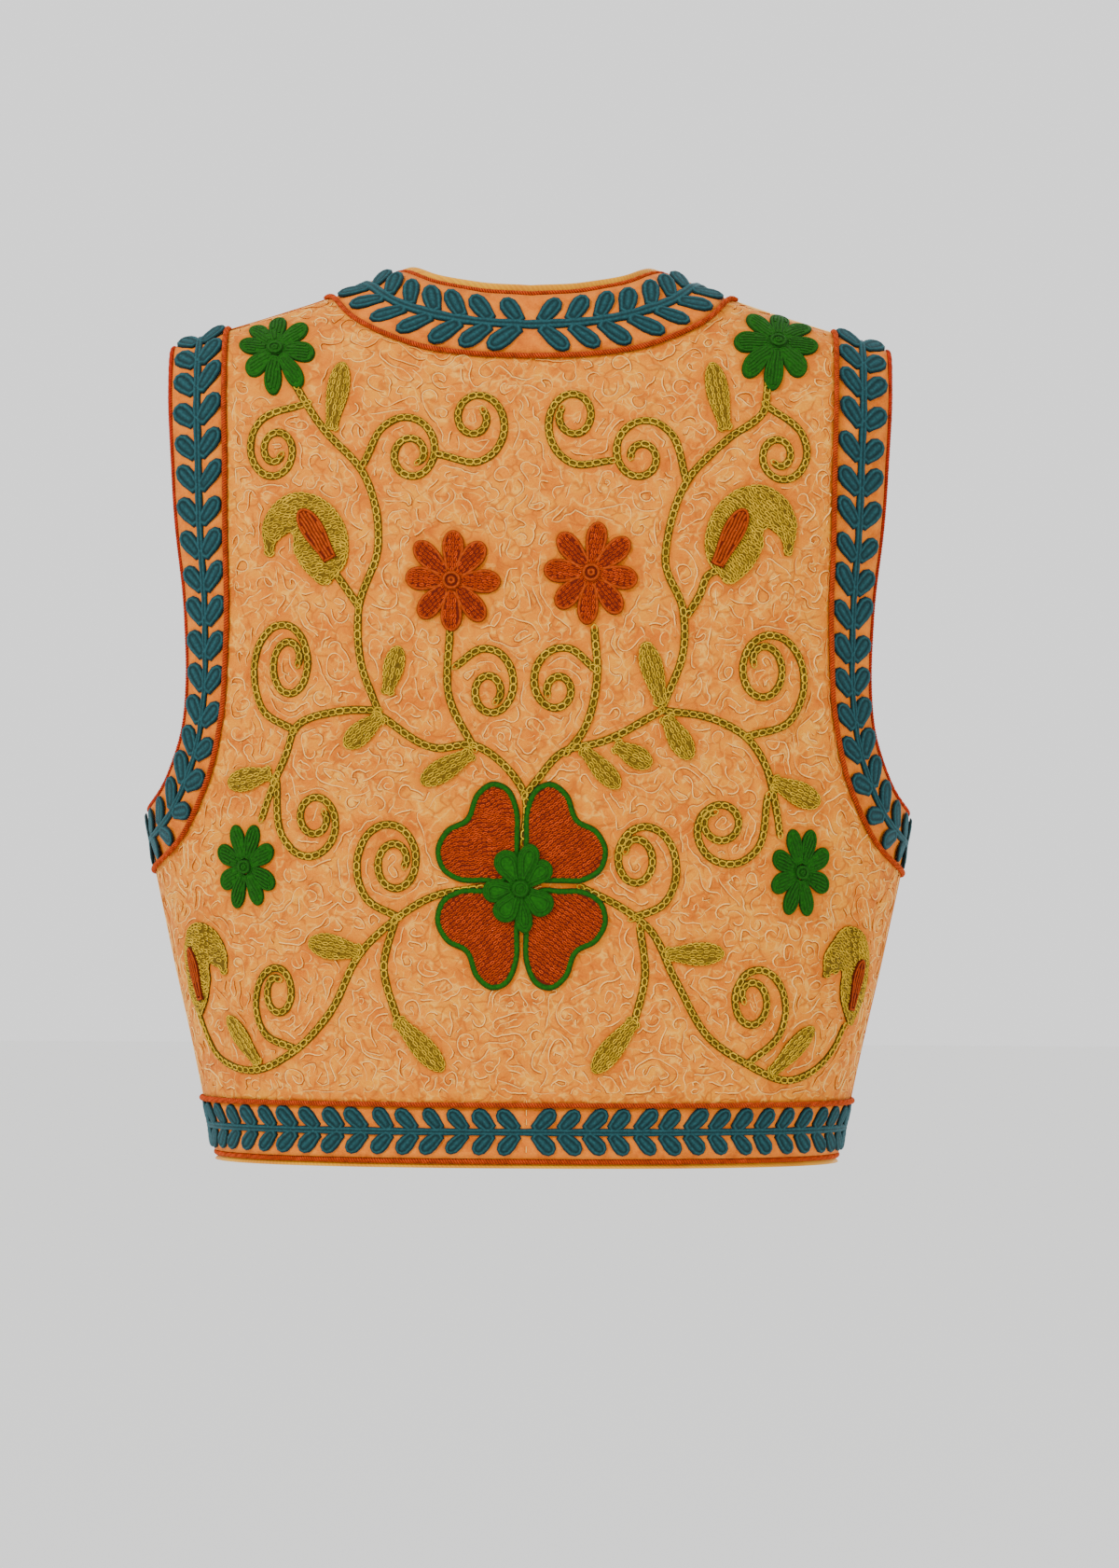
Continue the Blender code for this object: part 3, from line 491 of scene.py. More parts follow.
PALE, PEACH, AMBER = (0.65, 0.236, 0.006), (0.605, 0.175, 0.003), (0.50, 0.110, 0.0012)
CRINKLE_WARP, CRINKLE_SHOWN = 0.013, 0.75
CRINKLES = [  # size and shift of the pattern, its painted colour (painted highlight on the raised lines, painted shade in the sunk ones), and its rise over the cloth
    (125.0, 1.0, (0.76, 0.38, 0.05), 1.2),
    (95.0, 5.0, (0.40, 0.078, 0.002), -1.0),
]


def sewn_ground(name, pale, mid, deep):
    """Fulled wool, mottled, with fine crinkles pressed into it by its meandering stitches: painted highlight
    on the raised crinkles and painted shade in the sunk ones, and painted shade beside the raised work on it.
    """
    material, tree = cloth_material(name, 0.85, 0.12, (1.0, 0.6, 0.3))
    laid = put(tree, "ShaderNodeUVMap", uv_map="laid")
    colour = ramp(tree, noise(tree, laid, 55.0, 3.0, 0.6), [(0.32, deep), (0.5, mid), (0.68, pale)])
    heights = fibres = noise(tree, laid, 900.0, 2.0, 0.7)
    colour = mottled(tree, colour, fibres, 0.28, (0.25, 0.22, 0.2), grey(0.8))
    for scale, shift, line, rise in CRINKLES:
        shifted = put(tree, "ShaderNodeMapping", Vector=laid, Location=(shift, 0.3 * shift, 0))
        warp = noise(tree, shifted, scale * 0.9, 1.5).node.outputs["Color"]
        bent = put(tree, "ShaderNodeVectorMath", warp, grey(CRINKLE_WARP), shifted, operation="MULTIPLY_ADD")
        gap = put(tree, "ShaderNodeTexVoronoi", feature="DISTANCE_TO_EDGE", Vector=bent, Scale=scale)
        near = put(tree, "ShaderNodeMapRange", Value=gap, From_Max=0.09, To_Min=1.0, To_Max=0.0)
        some = noise(tree, shifted, scale * 1.3, 0.0)
        some = put(tree, "ShaderNodeMapRange", Value=some, From_Min=0.38, From_Max=0.50)
        mask = maths(tree, "MULTIPLY", maths(tree, "MULTIPLY", near, some), CRINKLE_SHOWN)
        # Painted highlight or painted shade along each crinkle, as its rise says.
        colour = blend(tree, mask, colour, line)
        heights = maths(tree, "MULTIPLY_ADD", mask, rise, heights)
    # Painted shade: beside the raised work the ground turns towards its deepest tone, as the shadow that the
    # work casts.
    beside = put(tree, "ShaderNodeAttribute", give="Fac", attribute_name="beside")
    return dyed(material, blend(tree, beside, colour, deep), heights, 0.5, 0.0005)


def lining_cloth():
    """Golden yellow satin, woven fine, with soft changes of tone."""
    material, tree = cloth_material("golden_lining", 0.55, 0.2, (1.0, 0.9, 0.6))
    laid = put(tree, "ShaderNodeUVMap", uv_map="laid")
    tones = [(0.3, (0.54, 0.18, 0.0005)), (0.55, (0.64, 0.27, 0.0005)), (0.8, (0.70, 0.34, 0.001))]
    colour = ramp(tree, noise(tree, laid, 30.0, 4.0), tones)
    bands = {"wave_type": "BANDS", "bands_direction": "DIAGONAL"}
    weave = put(tree, "ShaderNodeTexWave", Vector=laid, Scale=260.0, Distortion=1.5, **bands)
    colour = blend(tree, 0.12, colour, weave, "OVERLAY")
    return dyed(material, colour, weave.node.outputs["Fac"], 0.3, 0.0003)


ground_cloth = sewn_ground("quilted_ground", PALE, PEACH, AMBER)
golden_lining = lining_cloth()

QUILT = np.random.default_rng(11)
QUILT_RISE, QUILT_MOST = 0.07, 0.35
QUILT_WAVES = [
    (QUILT.uniform(9, 17), QUILT.uniform(0, np.pi), QUILT.uniform(0, 2 * np.pi)) for _ in range(22)
]


def quilted(s, level):
    """The small unevenness that stitching all over gives the cloth."""
    height = sum(
        np.sin(2 * np.pi * (s * np.cos(turn) + level * np.sin(turn)) / length + phase)
        for length, turn, phase in QUILT_WAVES
    )
    return np.clip(QUILT_RISE * height, -QUILT_MOST, QUILT_MOST)


def panel(name, node, side, laid):
    """A panel of ground cloth in place of its solid."""
    rise = quilted(laid[..., 0], laid[..., 1])
    for edge in (rise[0], rise[-1], rise[:, 0], rise[:, -1]):
        edge[:] = 0
    outer, _ = on_cloth(side, laid, CLOTH_HALF + rise)
    inner, _ = on_cloth(side, laid, -CLOTH_HALF)
    piece = sewn_on(shell(name, outer, inner, laid, [ground_cloth, golden_lining]), node)
    return piece


armhole_edge, armhole_seam = armhole_line("edge"), armhole_line("seam")
neck_edge, neck_seam = neck_line("edge"), neck_line("seam")


def back_grid(rows=150, columns=72):
    """Cloth coordinates of the back panel, from the hem seam up, mirrored about its centre."""
    far = even(np.concatenate([side_seam("back"), armhole_seam["back"][::-1][1:]]), rows)
    split = round(columns * 0.7)
    top = np.concatenate([even(neck_seam, split), even(shoulder_seam("back"), columns - split)[1:]])
    near = np.stack([np.zeros(rows + 1), np.linspace(HEM_SEAM, top[0, 1], rows + 1)], axis=1)
    half = patch(hem_seam("back", 0, columns), top, near, far)
    return np.concatenate([half[:, :0:-1] * (-1, 1), half], axis=1)


back_laid = back_grid()
back_cloth = panel("back", "back_panel", "back", back_laid)

# ---- The fronts
# Two plain fronts of the same quilted cloth, right and left, sewn to the back at the sides and shoulders.
# They are cut away round the armholes and slope from the neck to meet down the middle.

FRONT_EDGE, FRONT_BAND, V_NECK, V_SEAM, V_BOW = 3.0, 32.0, -165.0, -177.0, 1.25
BOTH_SIDES = (("right", 1), ("left", -1))


def front_line(offset, top_x, v_level, count=150):
    """The front edge, or a line beside it, from the hem up to the shoulder."""
    top = lay("front", top_x, shoulder_height(top_x))
    start = FRONT_EDGE + offset
    rise = np.linspace(0, 1, 200)
    curved = np.stack([start + (top[0] - start) * rise**V_BOW, v_level + (top[1] - v_level) * rise], axis=1)
    return even(np.concatenate([[(start, HEM_LEVEL)], curved]), count)


front_edge = front_line(0.0, NECK_POINT, V_NECK)
front_seam = front_line(FRONT_BAND, NECK_SEAM_POINT, V_SEAM)


def front_grid(rows=110, columns=56):
    """Cloth coordinates of the right front, from the hem seam up."""
    far = even(np.concatenate([side_seam("front"), armhole_seam["front"][::-1][1:]]), rows)
    near = even(front_seam[front_seam[:, 1] >= HEM_SEAM], rows)
    near[0] = near[0][0], HEM_SEAM
    return patch(hem_seam("front", near[0, 0], columns), even(shoulder_seam("front"), columns), near, far)


front_laid = front_grid()
for suffix, flip in BOTH_SIDES:
    panel("front_cloth_" + suffix, "front_" + suffix, "front", front_laid * (flip, 1))

# ---- The borders
# Strips of plainer orange cloth sewn round the neck, down the fronts, round the armholes and along the hem.
# Each carries a padded spine of teal wool with plump teal leaves in pairs, sewn down by their edges.

STRIP_WIDTH, STITCHED_DOWN = 31.0, 0.05
STRIP_STEP, STRIP_ROWS, EDGE_DROP = 3.2, 9, 0.25
SPINE_WIDTH, SPINE_HEIGHT, SPINE_STEP = 4.4, 1.7, 2.6
SPINE_SECTION = np.array([  # across from -1 to 1, share of the height, and how light the wool is painted there: painted highlight on its two lobes, painted shade at its sides and in the dip between
    (-1.0, 0.0, 0.0),
    (-0.92, 0.5, 0.3),
    (-0.5, 0.95, 1.0),
    (0.0, 0.8, 0.35),
    (0.5, 0.95, 1.0),
    (0.92, 0.5, 0.3),
    (1.0, 0.0, 0.0),
])
LEAF_LENGTH, LEAF_WIDTH, LEAF_ROOT = 10.0, 9.4, 6.2
NECK_LEAVES = [(0.11, 1.2, 1.05), (0.91, 1.15, 1.08)]
ARMHOLE_LEAVES = [(0.095, 1.0, 1.18), (0.92, 1.0, 1.12)]
FRONT_LEAVES = [(0.10, 1.0, 1.0), (0.91, 1.0, 1.0)]
HEM_LEAVES = [(0.10, 1.0, 0.93), (0.91, 1.0, 0.93)]
NECK_PITCH, NECK_LEAN, NECK_SPARE = 15.8, 11.0, 12
ARMHOLE_PAIRS, ARMHOLE_LEAN = 43, 13.5
FRONT_PITCH, FRONT_LEAN, FRONT_SPARE = 15.2, 10.0, (12.0, 14)
HEM_PITCH, HEM_LEAN, HEM_SPARE = 13.6, 10.5, 10
SHOULDER_SPARE, UNDERARM_SPARE = 13, 5
# Each ring of a leaf from its rim in: share, height and crest, the painted light (0 painted shade, 1 painted
# highlight). The first ring lies flat just past the rim, as a painted shadow outline on the cloth.
LEAF_RINGS = [(1.06, 0.0, 0.0), (1.0, 0.8, 0.2), (0.72, 1.5, 1.0), (0.45, 1.15, 0.3), (0.0, 1.75, 0.9)]


def border_ground():
    """Orange cloth, closer and plainer than the ground, with soft changes of tone."""
    material, tree = cloth_material("border_ground", 0.85, 0.1, (1.0, 0.6, 0.3))
    laid = put(tree, "ShaderNodeUVMap", uv_map="laid")
    tones = [(0.3, (0.44, 0.085, 0.002)), (0.5, (0.60, 0.14, 0.003)), (0.72, (0.68, 0.195, 0.009))]
    colour = ramp(tree, noise(tree, laid, 120.0, 4.0, 0.65), tones)
    fibres = noise(tree, laid, 1100.0, 2.0)
    return dyed(material, mottled(tree, colour, fibres, 0.2, grey(0.25), grey(0.78)), fibres, 0.4, 0.0003)


def worked_wool(name, stops, roughness, sheen, tint, grain, detail, spots, rise=(0.5, 0.0004)):
    """Wool worked in rows or strands: painted shade low down between them, painted highlight on their crowns.
    """
    material, tree = cloth_material(name, roughness, sheen, tint)
    crest = put(tree, "ShaderNodeAttribute", give="Fac", attribute_name="crest")
    tone = noise(tree, put(tree, "ShaderNodeTexCoord", give="Object"), grain, detail)
    return dyed(material, mottled(tree, ramp(tree, crest, stops), tone, *spots), tone, *rise)


TEAL = [(0.0, (0.001, 0.004, 0.003)), (0.45, (0.003, 0.020, 0.022)), (1.0, (0.011, 0.058, 0.066))]
border_cloth = border_ground()
teal_spots = (0.45, grey(0.2), (0.85, 0.9, 0.9), 0.72)
teal = worked_wool("teal_wool", TEAL, 0.8, 0.15, (0.3, 0.6, 0.7), 700.0, 2.0, teal_spots)


class Strip:
    """A border strip of parts (side, edge line, seam line), one after another, with its lengths."""

    def __init__(self, *parts):
        self.parts = parts
        self.runs = [run_along(on_cloth(side, (edge + seam) / 2)[0]) for side, edge, seam in parts]
        self.lengths = [run[-1] for run in self.runs]
        self.length = sum(self.lengths)

    def at(self, along, share, out):
        """Points, normals and cloth coordinates along the strip, at a share of the way from edge to seam."""
        along, share, out = (np.array(v, float) for v in np.broadcast_arrays(along, share, out))
        points, normals = np.zeros((*along.shape, 3)), np.zeros((*along.shape, 3))
        laid = np.zeros((*along.shape, 2))
        start = 0.0
        for k, ((side, edge, seam), run) in enumerate(zip(self.parts, self.runs)):
            here = (along >= start) | (k == 0)
            if k < len(self.parts) - 1:
                here &= along < start + run[-1]
            a, b = (
                np.stack([np.interp(along[here] - start, run, line[:, i]) for i in range(2)], axis=-1)
                for line in (edge, seam)
            )
            laid[here] = a + (b - a) * share[here][..., None]
            points[here], normals[here] = on_cloth(side, laid[here], out[here])
            start += run[-1]
        return points, normals, laid


def border(name, node, strip, closed, flat, area):
    """The strip's own cloth, with its edges a little rounded, as a wall in place of its solid."""
    stations = int(strip.length / STRIP_STEP)
    along = np.linspace(0, strip.length, stations + 1)[: stations if closed else None, None]
    share = np.linspace(0.004, 0.996, STRIP_ROWS)[None, :]
    soft = 0.12 * np.sin(along / 3.1) * np.sin(np.pi * share) + 0.1 * np.sin(along / 5.3 + 4 * share)
    outer, _, laid = strip.at(along, share, CLOTH_HALF - EDGE_DROP * (abs(share - 0.5) > 0.45) + soft)
    inner, _, _ = strip.at(along, share, -CLOTH_HALF)
    piece = shell(name, outer, inner, laid, [border_cloth, golden_lining], closed)
    sewn_on(piece, node)


def spine(name, strip, closed, bare):
    """The raised teal spine down the middle of a strip, which leaves its two ends bare."""
    start, stop = bare[0], strip.length - bare[1]
    count = int((stop - start) / SPINE_STEP)
    along = np.linspace(start, stop, count + 1)[: count if closed else None, None]
    across, rise, crest = SPINE_SECTION.T
    pulse = 1 + 0.07 * np.sin(along * 1.9)
    share = 0.5 + SPINE_WIDTH / 2 / STRIP_WIDTH * across * pulse
    top, _, laid = strip.at(along, share, CLOTH_HALF + 0.04 + SPINE_HEIGHT * rise * pulse)
    under, _, _ = strip.at(along, share, CLOTH_HALF + 0.02)
    piece = shell(name, top, under, laid, [teal], closed)
    shades = np.tile(crest, len(along))
    mark_points(piece.data, "crest", np.append(shades, 0 * shades))
    sewn_on(piece)


def ringed_pad(outline, middle, rings):
    """A pad worked in rings from its outline in to the line down its middle, and closed beneath.

    outline and middle hold matching points, and rings are (share, height, crest) from the rim in, crest being
    the painted light on the ring: 0 painted shade, 1 painted highlight.
    """
    count = len(outline)
    flat = np.concatenate([middle] + [middle + (outline - middle) * share for share, _, _ in rings])
    heights = np.repeat([0.0] + [height for _, height, _ in rings], count)
    crests = np.repeat([0.0] + [crest for _, _, crest in rings], count)
    faces = []
    for k in range(len(rings)):
        a, b = k * count, (k + 1) * count
        faces += [(a + i, a + (i + 1) % count, b + (i + 1) % count, b + i) for i in range(count)]
    return flat, heights, crests, faces


def leaf_outline(length, width, root, count=12, widest=0.64):
    """A club-shaped leaf from its root at 0 along X to its round tip, and the line down its middle."""
    angle = np.linspace(0, 2 * np.pi, count, endpoint=False)
    along = 0.5 - 0.5 * np.cos(angle)
    swell = root + (width - root) * np.sin(np.pi / 2 * np.clip(along / widest, 0, 1)) ** 2
    half = swell / 2 * np.sqrt(1 - np.clip((along - widest) / (1 - widest), 0, 1) ** 2)
    side = np.where(np.abs(np.sin(angle)) > 1e-6, np.sign(np.sin(angle)), 0)
    outline = np.stack([along * length, side * half], axis=1)
    middle = np.stack([np.clip(along * length, 0.28 * length, 0.78 * length), 0 * along], axis=1)
    return outline, middle


def padded_piece(name, points, faces, crests, material):
    piece = new_piece(name, points, faces, material)
    mark_points(piece.data, "crest", crests)
    turn_outwards(piece.data, merge=1e-6)
    return piece


def new_tree(name, **inputs):
    """A Geometry Nodes tree. A number given for an input is its default, and a word is its kind."""
    tree = bpy.data.node_groups.new(name, "GeometryNodeTree")
    tree.interface.new_socket("Geometry", in_out="OUTPUT", socket_type="NodeSocketGeometry")
    for label, value in {"Geometry": "Geometry", "Material": "Material", **inputs}.items():
        kind = value if isinstance(value, str) else type(value).__name__.title()
        socket = tree.interface.new_socket(label, in_out="INPUT", socket_type="NodeSocket" + kind)
        if kind in ("Float", "Int"):
            socket.default_value = value
    return tree, tree.nodes.new("NodeGroupInput").outputs


def finished_tree(tree, given, geometry):
    """Ends a tree with real copies in the material that it is given."""
    real = put(tree, "GeometryNodeRealizeInstances", Geometry=geometry)
    dressed = put(tree, "GeometryNodeSetMaterial", Geometry=real, Material=given["Material"])
    tree.links.new(dressed, tree.nodes.new("NodeGroupOutput").inputs["Geometry"])
    return tree


def worked(piece, tree, **inputs):
    """The piece with the tree's work done and kept as a plain mesh."""
    modifier = piece.modifiers.new(tree.name, "NODES")
    modifier.node_group = tree
    identifiers = {item.name: item.identifier for item in tree.interface.items_tree if item.in_out == "INPUT"}
    for name, value in inputs.items():
        modifier[identifiers[name]] = value
    graph = bpy.context.evaluated_depsgraph_get()
    made = bpy.data.meshes.new_from_object(piece.evaluated_get(graph), depsgraph=graph)
    piece.modifiers.clear()
    piece.data = made
    made.name = piece.name
    return piece


def named(tree, attribute):
    return put(tree, "GeometryNodeInputNamedAttribute", data_type="FLOAT_VECTOR", Name=attribute)


def turned_along(tree, along):
    """A turn that lays X along a direction and Z out from the cloth."""
    return put(tree, "FunctionNodeAxesToRotation", primary_axis="Z", Primary_Axis=named(tree, "out"),
               secondary_axis="X", Secondary_Axis=along)


def repeat_tree():
    """Copies one pad onto points, turned along and out as the points say."""
    tree, given = new_tree("sewn_on_repeats", Pad="Object")
    pad = put(tree, "GeometryNodeObjectInfo", give="Geometry", Object=given["Pad"])
    copies = put(tree, "GeometryNodeInstanceOnPoints", Points=given["Geometry"], Instance=pad,
                 Rotation=turned_along(tree, named(tree, "along")), Scale=named(tree, "size"))
    return finished_tree(tree, given, copies)


def line_piece(name, points, edges=(), **vectors):
    """Points in millimetres, and edges between them, for a tree to copy onto, sweep or sew along."""
    mesh = bpy.data.meshes.new(name)
    mesh.from_pydata(points * MM, edges, [])
    for label, values in vectors.items():
        attribute = mesh.attributes.new(label, "FLOAT_VECTOR", "POINT")
        attribute.data.foreach_set("vector", np.asarray(values, np.float32).ravel())
    return in_scene(name, mesh)


def leaves(name, strip, roots, lean, sides):
    """Leaves along a strip: where each pair is rooted and how far it leans along the strip, in millimetres.

    sides holds how far across the tip reaches, the share of the lean and the girth of each leaf of a pair.
    """
    wobble = np.random.default_rng(len(name) + len(roots))
    starts, normals, runs, sizes = [], [], [], []
    for reach, share, girth in sides:
        leans = share * lean * (1 + wobble.normal(0, 0.07, len(roots)))
        tip = 0.5 + (reach - 0.5) * (1 + wobble.normal(0, 0.02, len(roots)))
        start, normal, _ = strip.at(roots, 0.5 + 0.02 * np.sign(reach - 0.5), CLOTH_HALF + STITCHED_DOWN)
        ahead = strip.at(roots + 1.0, 0.5, CLOTH_HALF)[0] - strip.at(roots - 1.0, 0.5, CLOTH_HALF)[0]
        straight = ((strip.at(roots, tip, CLOTH_HALF)[0] - start) * ahead).sum(axis=1)
        straight /= np.linalg.norm(ahead, axis=1)
        run = strip.at(roots + leans - straight, tip, CLOTH_HALF + STITCHED_DOWN)[0] - start
        length = np.linalg.norm(run, axis=1) / LEAF_LENGTH
        girths = girth * (1 + wobble.normal(0, 0.04, len(roots)))
        starts.append(start)
        normals.append(normal)
        runs.append(run)
        sizes.append(np.column_stack([length, girths, np.ones(len(roots))]))
    out, along, size = (np.concatenate(rows) for rows in (normals, runs, sizes))
    piece = worked(line_piece(name, np.concatenate(starts), out=out, along=along, size=size),
                   SEWN_ON, Pad=leaf_pad, Material=teal)
    sewn_on(piece)


def dressed_border(band, place, strip, sheet, roots, lean, sides, closed=False, bare=(1.0, 1.0)):
    """A whole border: its cloth, its spine and its leaves. sheet, a (flat size, area), is not used."""
    border(f"{band}_border{place}", f"{band}_band{place or '_back'}", strip, closed, *sheet)
    spine(f"{band}_spine{place}", strip, closed, bare)
    leaves(f"{band}_leaves{place}", strip, roots, lean, sides)


def from_middle(strip, first, spare, pitch):
    """Roots that run both ways from a strip's middle, and 1 or -1 for the way that each one leans."""
    middle = strip.length / 2
    roots = np.arange(first, middle - spare, pitch)
    return np.append(middle + roots, middle - roots), np.repeat([1.0, -1.0], len(roots))


def mirrored(line):
    """A line on the right of the back, with the same line on the left before it."""
    return np.concatenate([line[:0:-1] * (-1, 1), line])


SEWN_ON = repeat_tree()
flat, heights, crests, faces = ringed_pad(*leaf_outline(LEAF_LENGTH, LEAF_WIDTH, LEAF_ROOT), LEAF_RINGS)
leaf_pad = padded_piece("leaf_pad", np.column_stack([flat, heights]), faces, crests, teal)

strip = Strip(("back", mirrored(neck_edge), mirrored(neck_seam)))
roots, way = from_middle(strip, 5.0, NECK_SPARE, NECK_PITCH)
dressed_border("neck", "", strip, ((0.30, 0.04), 0.0105), roots, NECK_LEAN * way, NECK_LEAVES, bare=(0, 0))
for suffix, flip in BOTH_SIDES:
    back = [line["back"] * (flip, 1) for line in (armhole_edge, armhole_seam)]
    front = [line["front"][::-1] * (flip, 1) for line in (armhole_edge, armhole_seam)]
    strip = Strip(("back", *back), ("front", *front))
    under = strip.lengths[0]
    spare = SHOULDER_SPARE + UNDERARM_SPARE
    pairs = np.round((np.array(strip.lengths) - spare) * ARMHOLE_PAIRS / strip.length).astype(int)
    roots = np.concatenate([
        np.linspace(SHOULDER_SPARE, under - UNDERARM_SPARE, pairs[0]),
        np.linspace(under + UNDERARM_SPARE, strip.length - SHOULDER_SPARE, pairs[1]),
    ])
    lean = np.where(roots < under, -ARMHOLE_LEAN, ARMHOLE_LEAN)
    dressed_border("armhole", "_" + suffix, strip, ((0.80, 0.034), 0.0245), roots, lean, ARMHOLE_LEAVES,
                   closed=True, bare=(0, 0))

    strip = Strip(("front", front_edge * (flip, 1), front_seam * (flip, 1)))
    roots = np.arange(FRONT_SPARE[0], strip.length - FRONT_SPARE[1], FRONT_PITCH)
    dressed_border("front", "_" + suffix, strip, ((0.62, 0.033), 0.0198), roots, FRONT_LEAN, FRONT_LEAVES,
                   bare=(1.0, 0))

    start = front_seam[0, 0] + 0.4
    edge = at_level(np.linspace(start, float(side_length("front", HEM_LEVEL)), 60), HEM_LEVEL)
    strip = Strip(("front", edge * (flip, 1), hem_seam("front", start, 59) * (flip, 1)))
    roots = np.arange(HEM_SPARE, strip.length - HEM_SPARE, HEM_PITCH)
    dressed_border("hem", "_front_" + suffix, strip, ((0.23, 0.0285), 0.0063), roots, -HEM_LEAN, HEM_LEAVES)

s = np.linspace(-1, 1, 180)
edge, seam = (at_level(s * float(side_length("back", level)), level) for level in (HEM_LEVEL, HEM_SEAM))
strip = Strip(("back", edge, seam))
roots, way = from_middle(strip, 4.0, HEM_SPARE, HEM_PITCH)
dressed_border("hem", "_back", strip, ((0.52, 0.0285), 0.0146), roots, HEM_LEAN * way, HEM_LEAVES)
bpy.data.objects.remove(leaf_pad)

# ---- The lining's edges
# Golden lining turned just past the cords round the neck and the hem, where a thin line of it shows.
# It is sewn inside the edge and lies flat against the wall.

LINING_THICK = 1.0
LINING_REACH = [5.9, 5.2, 3.9, 2.0, -1.5, -6.0]  # how far past the edge each line lies
LINING_LIP = np.array([1.4, 0.9, -0.9, -2.15, -2.15, -2.15])  # how far out each lies, curling past the cord
LINING_FADE = 24.0  # the lip dies away over this height, at the point of the V neck
HEM_REACH, SIDE_SPARE = 0.85, 0.5  # the hem's lip is a little shorter, and stops short of the side seam


def beside(line, distance):
    """A line on the laid-out cloth moved sideways, to the left as it runs."""
    along = np.gradient(line, axis=0)
    left = np.stack([-along[:, 1], along[:, 0]], axis=1) / np.linalg.norm(along, axis=1, keepdims=True)
    return line + left * np.broadcast_to(distance, len(line))[:, None]


def turned(line):
    """The same line on the left of the waistcoat, run the other way."""
    return (line * (-1, 1))[::-1]


def lining_edge(name, node, back, right):
    """A strip of lining from its lines along the back and along the right front, which the left repeats."""
    stretches = [("front", [turned(line) for line in right]), ("back", back), ("front", right)]
    stretches = [(side, np.stack(lines, axis=1)) for side, lines in stretches]
    outer, inner = (
        np.concatenate([on_cloth(side, rows, LINING_LIP - under)[0] for side, rows in stretches])
        for under in (0.0, LINING_THICK)
    )
    piece = shell(name, outer, inner, np.concatenate([rows for _, rows in stretches]), [golden_lining])
    sewn_on(piece, node)


def hem_lines(side, start, stop, count):
    """Lines beside the hem, between two shares of the way from the middle to the side seam."""
    levels = [HEM_LEVEL - HEM_REACH * reach for reach in LINING_REACH]
    shares = np.linspace(start, stop, count)
    return [at_level(shares * (float(side_length(side, level)) - SIDE_SPARE), level) for level in levels]


right_hem = hem_lines("front", 1.0, 0.02, 76)
lining_edge("hem_lining", "hem_lining_edge", hem_lines("back", -1, 1, 160), right_hem)

whole_neck = mirrored(neck_edge)
neck_front = front_edge[::-1][1:]
neck_front = neck_front[neck_front[:, 1] > V_NECK + 3]
fade = np.clip((neck_front[:, 1] - V_NECK) / LINING_FADE, 0.1, 1.0)
right_neck = [beside(neck_front, -reach * (fade if reach > 0 else 1)) for reach in LINING_REACH]
back_neck = [beside(whole_neck, reach) for reach in LINING_REACH]
lining_edge("neck_lining", "neck_lining_edge", back_neck, right_neck)

# ---- The cords
# Rust-orange wool cord laid along every edge and every border seam, and couched down with its own colour.
# Each is three strands twisted together, pressed a little into the cloth.

CORD_RADIUS, CORD_TWIST = 1.55, 4.4  # one full turn of the strands takes the length CORD_TWIST
GROOVE_SHARE, STRAND_RISE = 0.8, 0.22  # of the radius: in a groove, and how much further out over a strand
PAST_EDGE, SEAM_OUT = 1.45, 2.45  # how far past an edge a cord lies, and how far out over a seam
CORD_STEP = 0.2  # the least step between its points
EDGE_SPARE, SEAM_SPARE = 1.2, 3.2  # how far short of the front the hem's cords stop, at the edge and the seam
CORD_SPOTS = (0.5, (0.22, 0.2, 0.2), grey(0.8))


def cord_wool(name, dark, light):
    """Twisted wool, with painted shade in the grooves between its strands."""
    stops, tint = [(0.0, dark), (1.0, light)], (1.0, 0.5, 0.2)
    return worked_wool(name, stops, 0.75, 0.12, tint, 260.0, 3.0, CORD_SPOTS, (0.3, 0.0003))


def followed(tree, given, step):
    """The given edges as a curve, with points at even steps."""
    line = put(tree, "GeometryNodeMeshToCurve", Mesh=given["Geometry"])
    return put(tree, "GeometryNodeResampleCurve", mode="LENGTH", Curve=line, Length=given[step])


def noted(tree, geometry, label, value, domain="POINT"):
    """Keeps a number on the geometry, for its material to read."""
    kept = {"data_type": "FLOAT", "domain": domain}
    return put(tree, "GeometryNodeStoreNamedAttribute", Geometry=geometry, Name=label, Value=value, **kept)


def swept(tree, line, section, caps=True):
    mesh = put(tree, "GeometryNodeCurveToMesh", Curve=line, Profile_Curve=section, Fill_Caps=caps)
    return put(tree, "GeometryNodeSetShadeSmooth", Geometry=mesh)


def circle(tree, corners, radius):
    return put(tree, "GeometryNodeCurvePrimitiveCircle", Resolution=corners, Radius=radius)


def cord_tree():
    """Sweeps a section of three strands along a line, turning as it goes."""
    tree, given = new_tree("twisted_cord", Radius=0.0015, Step=0.0012, Twist=0.0044)
    run = put(tree, "GeometryNodeSplineParameter", give="Length")
    turn = maths(tree, "MULTIPLY", maths(tree, "DIVIDE", run, given["Twist"]), 2 * np.pi)
    line = put(tree, "GeometryNodeSetCurveTilt", Curve=followed(tree, given, "Step"), Tilt=turn)
    lobe = maths(tree, "MODULO", put(tree, "GeometryNodeInputIndex"), 3.0)
    crest = maths(tree, "GREATER_THAN", lobe, 0.5)
    # crest: 0 in each groove, where the cord's finish paints shade, and 1 over the strands.
    section = noted(tree, circle(tree, 9, given["Radius"]), "crest", crest)
    place = put(tree, "GeometryNodeInputPosition")
    share = maths(tree, "MULTIPLY_ADD", crest, STRAND_RISE, GROOVE_SHARE)
    drawn_in = put(tree, "ShaderNodeVectorMath", place, operation="SCALE", Scale=share)
    section = put(tree, "GeometryNodeSetPosition", Geometry=section, Position=drawn_in)
    return finished_tree(tree, given, swept(tree, line, section))


